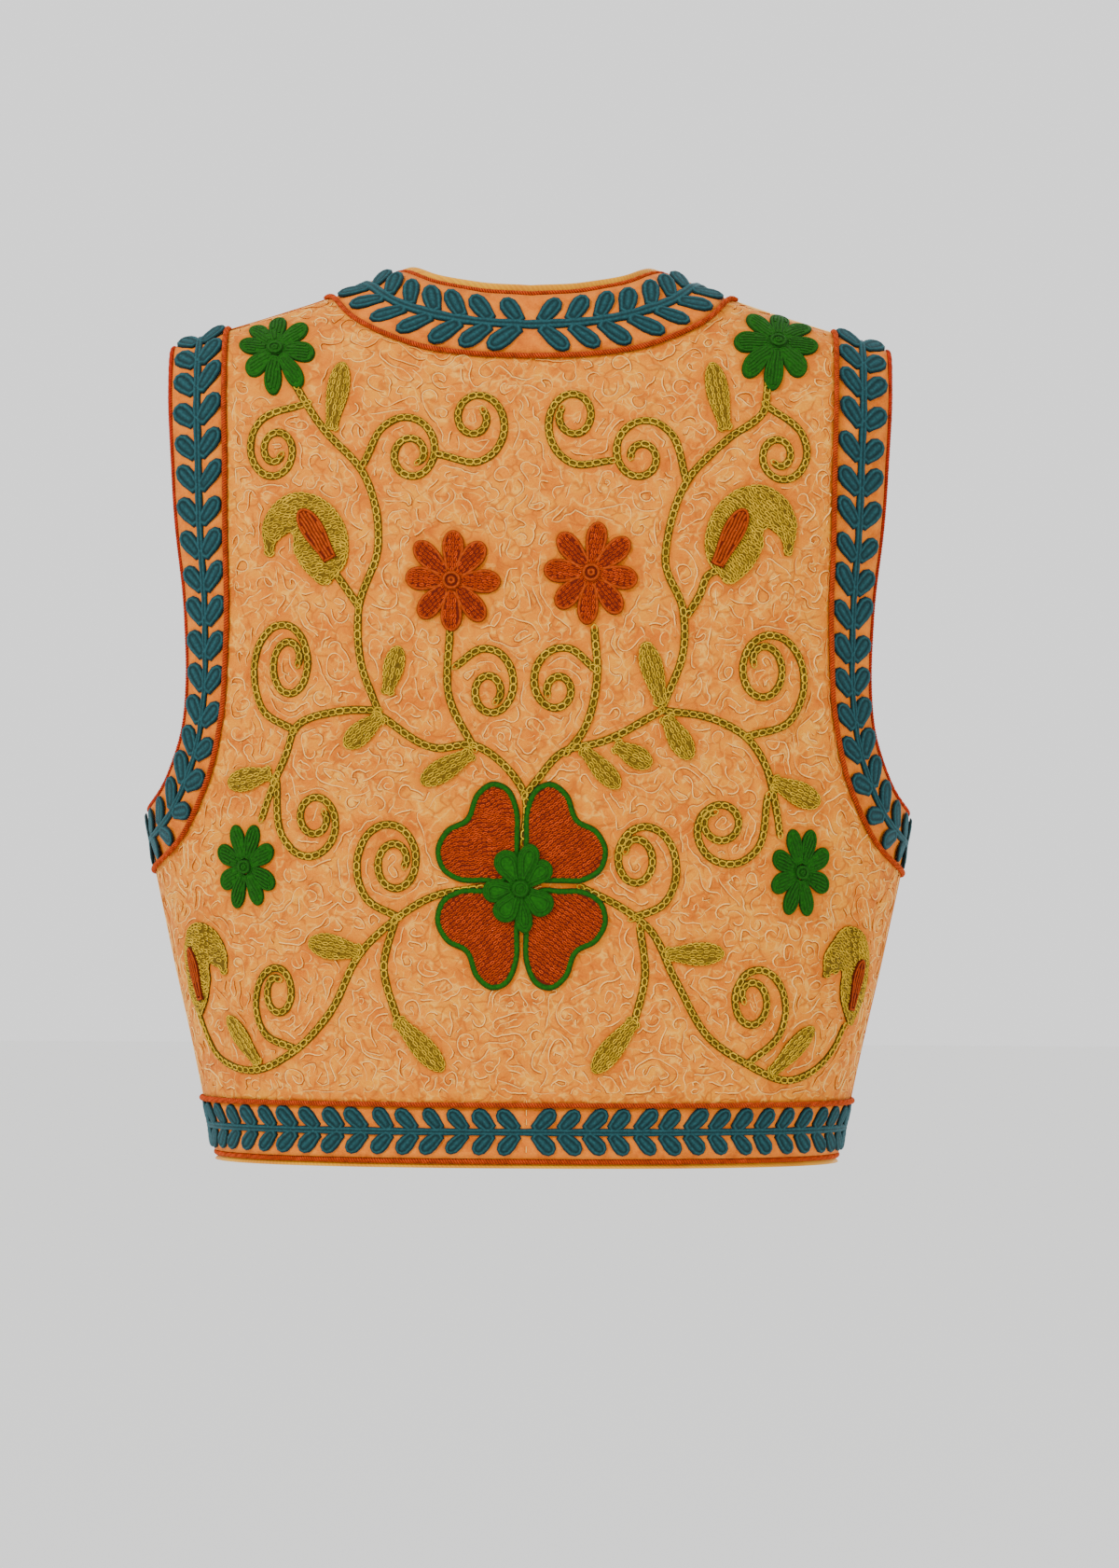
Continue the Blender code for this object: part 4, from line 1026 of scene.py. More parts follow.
def joined_up(runs, closed=False):
    """The points of several lines, one after another, and the edges that join each line's own."""
    edges, start = [], 0
    for run in runs:
        edges += [(start + i, start + i + 1) for i in range(len(run) - 1)]
        if closed:
            edges.append((start + len(run) - 1, start))
        start += len(run)
    return np.concatenate(runs), edges


def laid_cord(node, stretches, out, closed=False, material=None):
    """A cord at a height out along stretches of (side, line), one after another."""
    points = np.concatenate([on_cloth(side, line, out)[0] for side, line in stretches])
    gaps = np.linalg.norm(np.diff(points, axis=0), axis=1)
    points = points[np.concatenate([[True], gaps > CORD_STEP])]
    piece = line_piece("wool_" + node, *joined_up([points], closed))
    worked(piece, TWISTED, Radius=CORD_RADIUS * MM, Twist=CORD_TWIST * MM, Material=material or rust)
    turn_outwards(piece.data, merge=1e-7)
    sewn_on(piece, node)


def all_round(front, back):
    """Stretches of a line from the left front over the back and down the right front."""
    return [("front", turned(front)), ("back", back), ("front", front)]


def round_hem(level, start):
    reach_back, reach_front = float(side_length("back", level)), float(side_length("front", level))
    front = at_level(np.linspace(reach_front, start, 130)[1:], level)
    return all_round(front, at_level(np.linspace(-reach_back, reach_back, 300), level))


TWISTED = cord_tree()
rust = cord_wool("rust_wool", (0.05, 0.003, 0.0002), (0.40, 0.038, 0.0006))
red_rust = cord_wool("red_rust_wool", (0.06, 0.002, 0.0002), (0.38, 0.017, 0.0006))

down_front = front_edge[::-1][1:]
laid_cord("neck_edge_cord", all_round(beside(down_front, -PAST_EDGE), beside(whole_neck, PAST_EDGE)), 0.0)
laid_cord("neck_seam_cord", all_round(front_seam[::-1][1:], mirrored(neck_seam)), SEAM_OUT)
for suffix, flip in BOTH_SIDES:
    back = beside(armhole_edge["back"], PAST_EDGE) * (flip, 1)
    front = beside(armhole_edge["front"][::-1], -PAST_EDGE) * (flip, 1)
    laid_cord("armhole_edge_cord_" + suffix, [("back", back), ("front", front)], 0.0, True, red_rust)
    back, front = armhole_seam["back"] * (flip, 1), armhole_seam["front"][::-1] * (flip, 1)
    laid_cord("armhole_seam_cord_" + suffix, [("back", back), ("front", front)], SEAM_OUT, True)
laid_cord("hem_edge_cord", round_hem(HEM_LEVEL - PAST_EDGE, FRONT_EDGE + EDGE_SPARE), 0.0)
laid_cord("hem_seam_cord", round_hem(HEM_SEAM, FRONT_EDGE + FRONT_BAND + SEAM_SPARE), SEAM_OUT)

# ---- The daisies
# Six padded daisies: four of green wool at the shoulders and sides, two of burnt orange on the upper back.
# Each petal is a pad worked in lengthwise rows inside a rim row, round a ringed centre.

DAISIES = [  # name, x, height, reach across, reach up, turn in degrees
    ("green_daisy_shoulder_left", -137.0, -21.5, 20.0, 28.0, 12),
    ("green_daisy_shoulder_right", 133.0, -16.0, 22.0, 31.0, 0),
    ("green_daisy_side_left", -150.6, -299.5, 19.0, 24.5, 22),
    ("green_daisy_side_right", 145.9, -301.0, 19.0, 25.0, 22),
    ("orange_daisy_left", -41.0, -147.0, 25.5, 28.5, 0),
    ("orange_daisy_right", 33.0, -142.5, 25.0, 28.5, 4),
]
DAISY_PETALS, PETAL_START, PETAL_GIRTH, PETAL_ROOT = 8, 3.0, 0.45, 0.28
DAISY_TOP, DAISY_OVERLAP, DAISY_CENTRE, DAISY_RINGS = 1.5, 0.15, 0.2, (0.16, 0.06)
CENTRE_TOP, CENTRE_LIFT, CENTRE_RING_LEVEL = 2.2, 0.4, 2.5
ROW_GAP, RIM_IN, RIM_MARGIN = 1.75, 0.9, 2.2
PAD_RINGS = (1.0, 0.93, 0.8, 0.6, 0.3, 0.0)


def wool(name, dark, light):
    """Fine wool worked in rows, with painted shade low down and painted highlight on the crowns."""
    tint = tuple(min(1.0, c * 1.5 + 0.1) for c in light)
    spots = (0.5, grey(0.2), grey(0.85), 0.72)
    return worked_wool(name, [(0.0, dark), (1.0, light)], 0.82, 0.12, tint, 700.0, 3.0, spots)


def ridge_tree():
    """Lays a low rounded ridge along lines on the cloth, with their own way up in the attribute out."""
    tree, given = new_tree("laid_ridge", Width=0.0017, Height=0.0006, Sides=6, Step=0.001)
    line = followed(tree, given, "Step")
    line = put(tree, "GeometryNodeSetCurveNormal", mode="FREE", Curve=line, Normal=named(tree, "out"))
    place = put(tree, "ShaderNodeSeparateXYZ", Vector=put(tree, "GeometryNodeInputPosition")).node.outputs
    risen = maths(tree, "MAXIMUM", place["X"], 0.0)
    # crest: 0 at the ridge's foot and 1 on its top, which the wool finishes turn into painted shade and
    # painted highlight.
    section = noted(tree, circle(tree, given["Sides"], 1.0), "crest", risen)
    # across runs 0 to 1 over the ridge; the quilting thread's finish paints shade on one side and cream
    # thread on the other.
    section = noted(tree, section, "across", maths(tree, "MULTIPLY_ADD", place["Y"], 0.5, 0.5))
    high = maths(tree, "MULTIPLY", risen, given["Height"])
    wide = maths(tree, "MULTIPLY", maths(tree, "MULTIPLY", place["Y"], 0.5), given["Width"])
    low = put(tree, "ShaderNodeCombineXYZ", X=high, Y=wide)
    section = put(tree, "GeometryNodeSetPosition", Geometry=section, Position=low)
    return finished_tree(tree, given, swept(tree, line, section))


def chain_tree():
    """Sews chain stitches along lines: a link of thread at each pitch, lying on the cloth along the line."""
    sizes = {"Pitch": 0.003, "Length": 0.0038, "Width": 0.002, "Thread": 0.0008}
    tree, given = new_tree("chain_stitch", **sizes, Unevenness=0.1, Seed=1)
    length, width = (maths(tree, "SUBTRACT", given[size], given["Thread"]) for size in ("Length", "Width"))
    stretch = put(tree, "ShaderNodeCombineXYZ", X=length, Y=width, Z=1.0)
    loop = put(tree, "GeometryNodeTransform", Geometry=circle(tree, 6, 0.5), Scale=stretch)
    thread = circle(tree, 3, maths(tree, "MULTIPLY", given["Thread"], 0.5))
    least, most = (maths(tree, way, 1.0, given["Unevenness"]) for way in ("SUBTRACT", "ADD"))
    size = put(tree, "FunctionNodeRandomValue", data_type="FLOAT", Min=least, Max=most, Seed=given["Seed"])
    turn = turned_along(tree, put(tree, "GeometryNodeInputTangent"))
    links = put(tree, "GeometryNodeInstanceOnPoints", Points=followed(tree, given, "Pitch"),
                Instance=swept(tree, loop, thread, caps=False), Rotation=turn, Scale=size)
    seed = maths(tree, "ADD", given["Seed"], 7.0)
    tone = put(tree, "FunctionNodeRandomValue", data_type="FLOAT", Min=0.6, Max=1.0, Seed=seed)
    return finished_tree(tree, given, noted(tree, links, "crest", tone, "INSTANCE"))


RIDGE, CHAIN = ridge_tree(), chain_tree()


def sewn_lines(name, rows, side, slot, tree, **settings):
    """Rows of (line on the laid-out cloth, height above it), worked by the ridge or the chain tree."""
    placed = [on_cloth(side, line, CLOTH_HALF + height) for line, height in rows if len(line) > 1]
    points, edges = joined_up([points for points, _ in placed])
    piece = line_piece(name, points, edges, out=np.concatenate([normals for _, normals in placed]))
    worked(piece, tree, **settings)
    turn_outwards(piece.data, merge=1e-8)
    sewn_on(piece)


def ridges(name, rows, slot, material, width, height, step, sides=6, side="back"):
    sizes = {"Width": width * MM, "Height": height * MM, "Step": step * MM}
    sewn_lines(name, rows, side, slot, RIDGE, Sides=sides, Material=material, **sizes)


def chains(name, rows, slot, material, pitch, length, width, thread, seed, uneven=0.1):
    sizes = {"Pitch": pitch * MM, "Length": length * MM, "Width": width * MM, "Thread": thread * MM}
    sewn_lines(name, rows, "back", slot, CHAIN, Unevenness=uneven, Seed=seed, Material=material, **sizes)


def inside(points, outline):
    """Whether points lie inside an outline."""
    x, y = points[..., 0, None], points[..., 1, None]
    (x0, y0), (x1, y1) = outline.T, np.roll(outline, -1, axis=0).T
    rise = np.where(y1 == y0, 1e-9, y1 - y0)
    crossed = ((y0 > y) != (y1 > y)) & (x < x0 + (y - y0) * (x1 - x0) / rise)
    return crossed.sum(axis=-1) % 2 == 1


def depth_in(points, outline):
    """How far points lie in from an outline, in millimetres."""
    return np.linalg.norm(points[..., None, :] - outline, axis=-1).min(axis=-1)


def pad_height(points, outline, top, rim=0.7, slope=3.5):
    """The height of a padded shape over the cloth: quickly up from its rim, then nearly flat."""
    return rim + (top - rim) * np.sin(np.pi / 2 * np.clip(depth_in(points, outline) / slope, 0, 1)) ** 0.8


def rows_within(outline, turn, gap, top, margin, seed, wave=0.15, length=9.0):
    """Rows of stitches along a direction inside an outline, each with its height over the cloth."""
    c, s = np.cos(np.radians(turn)), np.sin(np.radians(turn))
    spin = np.array([[c, s], [-s, c]])
    middle = outline.mean(axis=0)
    local = (outline - middle) @ spin.T
    (u0, v0), (u1, v1) = local.min(axis=0), local.max(axis=0)
    count = int((v1 - v0 - 2 * margin) / gap)
    rows, phase = [], np.random.default_rng(seed).uniform(0, 6.3, 3)
    u = np.arange(u0, u1, 0.8)
    for k in range(count + 1):
        v = (v0 + v1) / 2 + (k - count / 2) * gap
        waved = np.sin(u / length * 2 * np.pi + phase[0]) + 0.4 * np.sin(u / 3.7 + phase[1] + k)
        line = np.stack([u, v + wave * waved], axis=1) @ spin + middle
        kept = inside(line, outline) & (depth_in(line, outline) > margin)
        for run in np.split(np.arange(len(u)), np.flatnonzero(np.diff(kept.astype(int))) + 1):
            if kept[run[0]] and len(run) > 3:
                rows.append((line[run], pad_height(line[run], outline, top)))
    return rows


def rim_row(outline, inset, top):
    """One row round the inside of an outline, by moving each point in, with its height."""
    ring = np.concatenate([outline, outline[:1]])
    moved = beside(ring, inset if inside(beside(ring, inset)[:1], outline)[0] else -inset)
    moved[-1] = moved[0]
    return moved, pad_height(moved, outline, top)


def pads(name, node, shapes, material, rings=PAD_RINGS):
    """One padded piece of several shapes, each an (outline, middle, top height, lift) laid on the back."""
    points, faces, crests = [], [], []
    rings = [(1.0, 0.0, 0.0)] + [(share, 1.0, 1.0) for share in rings]
    for outline, middle, top, lift in shapes:
        flat, heights, _, sides = ringed_pad(outline, middle, rings)
        raised = np.where(heights > 0, lift + pad_height(flat, outline, top), 0.0)
        start = sum(map(len, points))
        points.append(on_cloth("back", flat, CLOTH_HALF + STITCHED_DOWN + raised)[0])
        faces += [tuple(start + i for i in side) for side in sides]
        # Painted shade low at the rim of each pad, painted highlight on its top.
        crests.append(np.clip(raised / top, 0, 1))
    piece = padded_piece("padded_" + name, np.concatenate(points), faces, np.concatenate(crests), material)
    sewn_on(piece, node)


def placed_club(centre, turn, start, length, width, root, count=44, widest=0.64):
    """The outline and middle of a club-shaped petal or leaf laid from a centre, turned clockwise from up."""
    c, s = np.cos(np.radians(turn)), np.sin(np.radians(turn))
    spin = np.array([[s, c], [c, -s]])
    club = leaf_outline(length, width, root, count, widest)
    return tuple((line + (start, 0)) @ spin + centre for line in club)


def ring_line(centre, radius, count=24):
    angle = np.linspace(0, 2 * np.pi, count + 1)
    return np.array(centre) + radius * np.stack([np.sin(angle), np.cos(angle)], axis=1)


def round_pad(centre, radius, top, lift):
    """A round pad for the middle of a flower, as pads takes it."""
    outline = ring_line(centre, radius)[:-1]
    return outline, np.tile(centre, (len(outline), 1)), top, lift


green_wool = wool("green_wool", (0.0003, 0.007, 0.0003), (0.006, 0.070, 0.0006))
orange_wool = wool("burnt_orange_wool", (0.030, 0.002, 0.0002), (0.47, 0.048, 0.0003))
# Painted shade: the rim rows' wool is a darker copy of the burnt orange, darkened against the stronger light
# that the raised rims catch.
darkened_rim_wool = wool("burnt_orange_rim_wool", (0.030, 0.002, 0.0002), (0.31, 0.039, 0.0002))
# Painted shade: this underlay lies dark under the stitches, so the gaps between rows and the rims of the pads
# show as shade.
orange_underlay_and_shade = wool("burnt_orange_backing", (0.012, 0.0008, 0.0001), (0.09, 0.006, 0.0002))
green_rows, orange_rows, orange_rims = [], [], []
wobble = np.random.default_rng(8)
for name, x, height, across, up, turn in DAISIES:
    centre, spread = lay("back", x, height), np.array([1.0, up / across])
    shapes = []
    green = name.startswith("green")
    rows, rims = (green_rows, green_rows) if green else (orange_rows, orange_rims)
    for k in range(DAISY_PETALS):
        here = turn + 360 / DAISY_PETALS * k + wobble.normal(0, 2.0)
        long = across * wobble.uniform(0.94, 1.02) - PETAL_START
        club = placed_club((0, 0), here, PETAL_START, long, PETAL_GIRTH * across, PETAL_ROOT * across, 40)
        outline, middle = (line * spread + centre for line in club)
        shapes.append((outline, middle, DAISY_TOP, DAISY_OVERLAP * (k % 2)))
        rims.append(rim_row(outline, RIM_IN, DAISY_TOP))
        rows += rows_within(outline, 90 - here, ROW_GAP, DAISY_TOP, RIM_MARGIN, k)
    shapes.append(round_pad(centre, DAISY_CENTRE * across, CENTRE_TOP, CENTRE_LIFT))
    rims += [(ring_line(centre, share * across), CENTRE_RING_LEVEL) for share in DAISY_RINGS]
    backing, slot = (green_wool, "green_wool") if green else (orange_underlay_and_shade, "orange_wool")
    pads(name, name, shapes, backing)
ridges("green_daisy_rows", green_rows, "green_wool", green_wool, width=1.7, height=0.55, step=1.6)
ridges("orange_daisy_rims", orange_rims, "orange_wool", darkened_rim_wool, width=1.9, height=0.6, step=1.6)
chains("orange_daisy_stitches", orange_rows, "orange_wool", orange_wool,
       pitch=2.6, length=3.3, width=1.8, thread=0.85, seed=3)

# ---- The big flower
# Four burnt-orange petals, padded and filled with close rows of chain stitch, each edged with a green wool
# cord. A green rosette of seven round lobes covers the middle where they meet.

PETAL_CENTRE, PETAL_UPPER, PETAL_LOWER, FLOWER_NARROW = (-3.0, -309.0), 58.5, 59.0, 0.81
PETAL = [(34, 0.2), (40, 0.42), (41, 0.7), (35, 0.9), (26, 0.99), (14, 0.97), (0, 0.86)]  # degrees, reach
PETAL_TOP, EDGING_LEVEL = 1.5, 0.6
PETALS = [  # name, turn, reach, slant of its rows, how far they wave
    ("big_petal_upper_left", -45, PETAL_UPPER, 15, 0.9),
    ("big_petal_upper_right", 45, PETAL_UPPER, 35, 0.3),
    ("big_petal_lower_left", -135, PETAL_LOWER, 40, 0.3),
    ("big_petal_lower_right", 135, PETAL_LOWER, -35, 0.3),
]
ROSETTE_CENTRE, LOBE_START, LOBE_ROOT, LOBE_TOP = (-3.5, -310.5), 3.0, 0.55, 2.0
LOBE_LIFT, LOBE_OVERLAP, LOBE_ROWS_IN = 1.7, 0.35, (1.0, 3.0)
HEART_RADIUS, HEART_TOP, HEART_LIFT, HEART_RINGS, HEART_RING_LEVEL = 4.6, 1.6, 3.2, (3.6, 1.2), 4.7
ROSETTE = [  # turn in degrees, reach, width
    (-28, 22.5, 13.5), (14, 24.5, 11.5), (48, 20.5, 12.5), (127, 20.0, 14.0), (174, 24.0, 9.5),
    (214, 20.5, 13.5), (264, 20.0, 12.5),
]


def petal_outline(turn, radius, count=96):
    """A heart-shaped petal from the flower's middle, turned clockwise from up."""
    table = PETAL + [(-angle, reach) for angle, reach in PETAL[-2::-1]]
    angle = np.radians([a for a, _ in table])
    reach = np.array([r for _, r in table]) * radius
    points = np.stack([reach * np.sin(angle), reach * np.cos(angle)], axis=1)
    c, s = np.cos(np.radians(turn)), np.sin(np.radians(turn))
    closed = curve_through(np.concatenate([points, points[:1]]))
    return even(closed, count)[:-1] @ np.array([[c, -s], [s, c]]) * (FLOWER_NARROW, 1)


flower_centre = lay("back", *PETAL_CENTRE)
petal_rows, edging = [], []
for name, turn, radius, slant, wave in PETALS:
    outline = petal_outline(turn, radius) + flower_centre
    middle = np.tile(outline.mean(axis=0), (len(outline), 1))
    rings = (1.0, 0.95, 0.88, 0.75, 0.55, 0.3, 0.0)
    pads(name, name, [(outline, middle, PETAL_TOP, 0.0)], orange_underlay_and_shade, rings)
    petal_rows += rows_within(outline, slant, 2.2, PETAL_TOP, 2.6, turn + 200, wave, length=14.0)
    edging.append((rim_row(outline, RIM_IN, PETAL_TOP)[0], EDGING_LEVEL))
chains("big_petal_stitches", petal_rows, "orange_wool", orange_wool,
       pitch=2.6, length=3.3, width=1.9, thread=0.85, seed=5, uneven=0.14)
ridges("big_petal_edging", edging, "green_wool", green_wool, width=3.4, height=1.7, step=1.6, sides=8)

shapes, rows = [], []
heart = lay("back", *ROSETTE_CENTRE)
for k, (turn, reach, width) in enumerate(ROSETTE):
    outline, middle = placed_club(heart, turn, LOBE_START, reach - LOBE_START, width, LOBE_ROOT * width, 40)
    lift = LOBE_LIFT + LOBE_OVERLAP * (k % 2)
    shapes.append((outline, middle, LOBE_TOP, lift))
    for inset in LOBE_ROWS_IN:
        line, _ = rim_row(outline, inset, LOBE_TOP)
        rows.append((line, pad_height(line, outline, LOBE_TOP) + lift - STITCHED_DOWN))
shapes.append(round_pad(heart, HEART_RADIUS, HEART_TOP, HEART_LIFT))
rows += [(ring_line(heart, radius), HEART_RING_LEVEL) for radius in HEART_RINGS]
pads("rosette", "big_flower_heart", shapes, green_wool)
ridges("rosette_rows", rows, "green_wool", green_wool, width=1.8, height=0.5, step=1.5)

# ---- The paisleys
# Four olive paisleys, padded and filled with wandering chain stitch inside a rim row.
# Each has a long burnt-orange seed, itself a small pad worked in lengthwise rows.

PAISLEY = [  # outer x, outer y, inner x, inner y, in radii, from the foot over the top to the hook's tip
    (0.25, -0.95, 0.05, -0.98), (0.62, -0.5, -0.32, -0.62), (0.68, 0.0, -0.5, -0.2), (0.52, 0.5, -0.5, 0.1),
    (0.1, 0.9, -0.56, 0.14), (-0.4, 0.98, -0.64, 0.1), (-0.85, 0.75, -0.72, 0.05), (-1.15, 0.3, -0.85, -0.05),
    (-1.12, -0.35, -0.98, -0.36),
]
PAISLEYS = [  # name, x, height, reach across and up, curl, tail drawn up, seed's two ends and width
    ("paisley_upper_left", -113.5, -124.5, 25.2, 25.2, 1, 0.0, (-0.28, 0.62), (0.30, -0.46), 12.5),
    ("paisley_upper_right", 112.0, -121.0, 26.5, 27.0, -1, -0.05, (-0.06, 0.50), (0.43, -0.64), 12.0),
    ("paisley_side_left", -177.5, -355.0, 22.0, 25.5, -1, 0.25, (0.17, 0.47), (-0.08, -0.66), 8.5),
    ("paisley_side_right", 175.5, -357.0, 22.0, 27.0, 1, 0.33, (0.22, 0.34), (-0.02, -0.69), 8.5),
]
PAISLEY_TOP, SEED_TOP, SEED_LIFT, RIM_POINTS = 1.3, 1.0, 1.5, 60
SEED_ROOT, SEED_RIM_IN, SEED_RIM_LEVEL = 0.62, 0.8, 2.45


def clockwise_from_up(run):
    return np.degrees(np.arctan2(run[0], run[1]))


olive_wool = wool("olive_wool", (0.08, 0.045, 0.001), (0.54, 0.33, 0.010))
# Painted shade: this underlay lies dark under the stitches and the vines, so their gaps and sides show as
# shade.
olive_underlay_and_shade = wool("olive_backing", (0.018, 0.010, 0.0003), (0.10, 0.055, 0.001))
paisley_rows, seed_rows, motif_outlines = [], [], []
for name, x, height, across, up, curl, tail, top, bottom, width in PAISLEYS:
    centre, reach = lay("back", x, height), np.array([curl * across, up])
    rungs = np.array(PAISLEY)
    rungs[-2:, 1::2] += [[0.4 * tail], [tail]]
    rungs *= np.tile(reach, 2)
    outer, inner = (even(curve_through(rim), RIM_POINTS - 1) for rim in (rungs[:, :2], rungs[:, 2:]))
    outline = np.concatenate([outer, inner[::-1]]) + centre
    middle = (outer + inner)[np.clip(np.arange(RIM_POINTS), 6, 52)] / 2 + centre
    middle = np.concatenate([middle, middle[::-1]])
    pads(name, name, [(outline, middle, PAISLEY_TOP, 0.0)], olive_underlay_and_shade)
    motif_outlines.append(outline)
    paisley_rows.append(rim_row(outline, RIM_IN, PAISLEY_TOP))
    seed_foot = centre + reach * bottom
    run = centre + reach * top - seed_foot
    turn = clockwise_from_up(run)
    seed, seed_middle = placed_club(seed_foot, turn, 0.0, np.linalg.norm(run), width, SEED_ROOT * width)
    pads(name + "_seed", None, [(seed, seed_middle, SEED_TOP, SEED_LIFT)], orange_underlay_and_shade)
    seed_rows.append((rim_row(seed, SEED_RIM_IN, SEED_TOP)[0], SEED_RIM_LEVEL))
    rows = rows_within(seed, 90 - turn, 1.7, SEED_TOP, 1.8, 3)
    seed_rows += [(line, SEED_LIFT + rise) for line, rise in rows]
    rows = rows_within(outline, 160 - turn, 2.75, PAISLEY_TOP, 2.1, int(-height), wave=1.1, length=6.5)
    paisley_rows += [(line, rise) for line, rise in rows if not inside(line, seed).all()]
chains("paisley_stitches", paisley_rows, "olive_wool", olive_wool,
       pitch=3.4, length=4.4, width=2.4, thread=0.9, seed=11, uneven=0.18)
ridges("paisley_seed_rows", seed_rows, "orange_wool", darkened_rim_wool, width=1.6, height=0.5, step=1.5)

# ---- The vines
# Olive wool vines in wide chain stitch over a dark laid strand, running from flower to flower. The strand
# shows dark at both sides of the chain and in its gaps: partly the vines' dark outline, partly painted shade.
# Tendrils curl off them in spirals that tighten towards their middles.

VINES = [  # (x, height) along each vine
    [(-131, -33), (-110.5, -65.2), (-88.7, -89.4), (-80.4, -129.8), (-90.1, -160.5), (-89.3, -189.4),
     (-79.6, -216.8)],
    [(-103, -142.9), (-90.6, -160.5)],
    [(-79.6, -215.8), (-100.1, -216.5), (-124.8, -226.6), (-128, -237), (-134.2, -251.9), (-142.1, -273.8)],
    [(-79.6, -218.3), (-48.4, -236), (-29.5, -234.2), (-11.8, -245.7), (-1.5, -261.2), (-2.2, -286)],
    [(-41.9, -173.6), (-41.7, -209.8), (-28.5, -236.2)],
    [(-24.8, -310.2), (-49.7, -314.9), (-72.3, -329.2), (-87.9, -344.5), (-105.3, -378.4), (-122.7, -397.4),
     (-146.6, -409.2), (-166.6, -401.2), (-177.6, -377.1)],
    [(-70.2, -327.7), (-76, -353.5), (-68.7, -380.9)],
    [(127.7, -35.3), (126.9, -45.2), (126, -52.3), (104.9, -70.7), (84.6, -92), (74.3, -120.2),
     (72.6, -137.1), (81.8, -161.1), (82.6, -181), (70.9, -215.2)],
    [(103, -139), (95, -143.5), (91, -153.5), (84.8, -164.1)],
    [(68.9, -216.6), (40.5, -231.8), (18.1, -238.1), (4.5, -253.3), (-1.5, -261.2)],
    [(35, -172.3), (36.3, -200.6), (28.6, -227.8), (20.6, -238.1)],
    [(70.9, -215.2), (100.3, -220.3), (116.8, -229.8), (127.2, -245.7), (131.2, -260.7), (134.6, -281.2)],
    [(28.4, -309.6), (50.7, -320.8), (64, -330.8), (79.2, -359.4), (98, -390.5), (115, -402.5), (140.4, -413),
     (162.4, -399.8), (170.5, -384.4)],
    [(60, -330.8), (62.8, -357.2), (57.6, -380.5)],
]
SPIRALS = [  # start, end and middle, each x and height, then half width, half height and turns, + clockwise
    ((-119.0, -51.0), (-136.5, -74.8), (-137.0, -73.5), (14.5, 19.0), -1.8),
    ((-88.7, -84.4), (-63.7, -77.2), (-67.2, -75.1), (18.4, 17.9), 1.75),
    ((-48.3, -79.4), (-29.2, -61.4), (-29.8, -65.4), (18.1, 20.3), -1.5),
    ((-38.6, -192.5), (-20.8, -205.0), (-22.2, -200.1), (16.2, 18.9), 1.6),
    ((-124.8, -226.6), (-128.0, -192.2), (-132.1, -197.1), (16.4, 28.7), 1.9),
    ((-134.2, -251.9), (-113.3, -273.6), (-117.3, -276.5), (16.9, 19.4), -1.75),
    ((-68.7, -326.2), (-71.0, -299.3), (-75.0, -300.3), (17.6, 25.5), 1.9),
    ((-122.7, -397.4), (-134.6, -366.9), (-134.2, -373.9), (12.5, 22.0), 1.7),
    ((126.0, -50.5), (135.0, -76.7), (136.5, -75.0), (13.8, 18.0), 1.7),
    ((83.6, -92.0), (60.8, -78.3), (62.9, -75.8), (18.4, 17.4), -1.6),
    ((44.3, -82.3), (21.1, -60.3), (26.1, -65.4), (17.9, 21.3), 1.5),
    ((34.8, -193.1), (15.9, -203.9), (17.9, -198.4), (16.7, 17.9), -1.5),
    ((116.8, -228.8), (126.6, -191.5), (130.6, -200.4), (18.4, 27.7), -1.9),
    ((128.1, -260.2), (100.9, -275.5), (107.9, -281.0), (19.4, 17.9), 1.9),
    ((55.6, -326.3), (58.3, -294.0), (63.8, -300.5), (17.4, 25.2), -1.8),
    ((118.0, -404.0), (120.3, -370.4), (124.6, -375.4), (15.5, 23.7), -1.9),
]
VINE_WIDTH, VINE_BACKING, VINE_RISE = 3.8, 4.8, 0.85
SPIRAL_STEPS, SPIRAL_TIGHTENS, SPIRAL_EASE, DRIFT_EASE = 90, 0.8, 0.85, 1.1
SPIRAL_EVERY, SPIRAL_LAST = 4, 87  # the steps that the smooth curve is drawn through


def spiral(start, end, middle, half_size, turns):
    """A tendril from its start on the vine, winding in to its end inside the given half width and height."""
    start, end, middle = np.array(start), np.array(end), np.array(middle)
    half_sizes = np.array(half_size) - VINE_WIDTH / 2
    away = (start - middle) / half_sizes
    t = np.linspace(0, 1, SPIRAL_STEPS)
    angle = np.arctan2(away[0], away[1]) + 2 * np.pi * turns * t
    reach = half_sizes * (1 - SPIRAL_TIGHTENS * t**SPIRAL_EASE)[:, None]
    drift = (end - middle) * t[:, None] ** DRIFT_EASE
    wound = middle + drift + reach * np.stack([np.sin(angle), np.cos(angle)], axis=1)
    low, high = wound.min(axis=0), wound.max(axis=0)
    wound = middle + (wound - (low + high) / 2) * half_sizes * 2 / (high - low)
    passed = np.arccos(1 / max(np.linalg.norm(away), 1.0)) / (2 * np.pi * abs(turns))
    join = SPIRAL_EVERY + int((SPIRAL_STEPS - 1) * passed)
    return curve_through(np.concatenate([start[None], wound[join:SPIRAL_LAST:SPIRAL_EVERY], wound[-1:]]))


laid_vines = [curve_through(lay("back", *np.array(points, float).T)) for points in VINES]
laid_vines += [lay("back", *spiral(*row).T) for row in SPIRALS]
vine_lines = [even(line, max(4, int(run_along(line)[-1]))) for line in laid_vines]
strands, stitches = ([(line, rise) for line in vine_lines] for rise in (0.0, VINE_RISE))
ridges("vine_backing", strands, "olive_wool", olive_underlay_and_shade, width=VINE_BACKING, height=0.75, step=1.8)
chains("vine_stitches", stitches, "olive_wool", olive_wool,
       pitch=4.2, length=5.6, width=VINE_WIDTH, thread=1.0, seed=21, uneven=0.12)

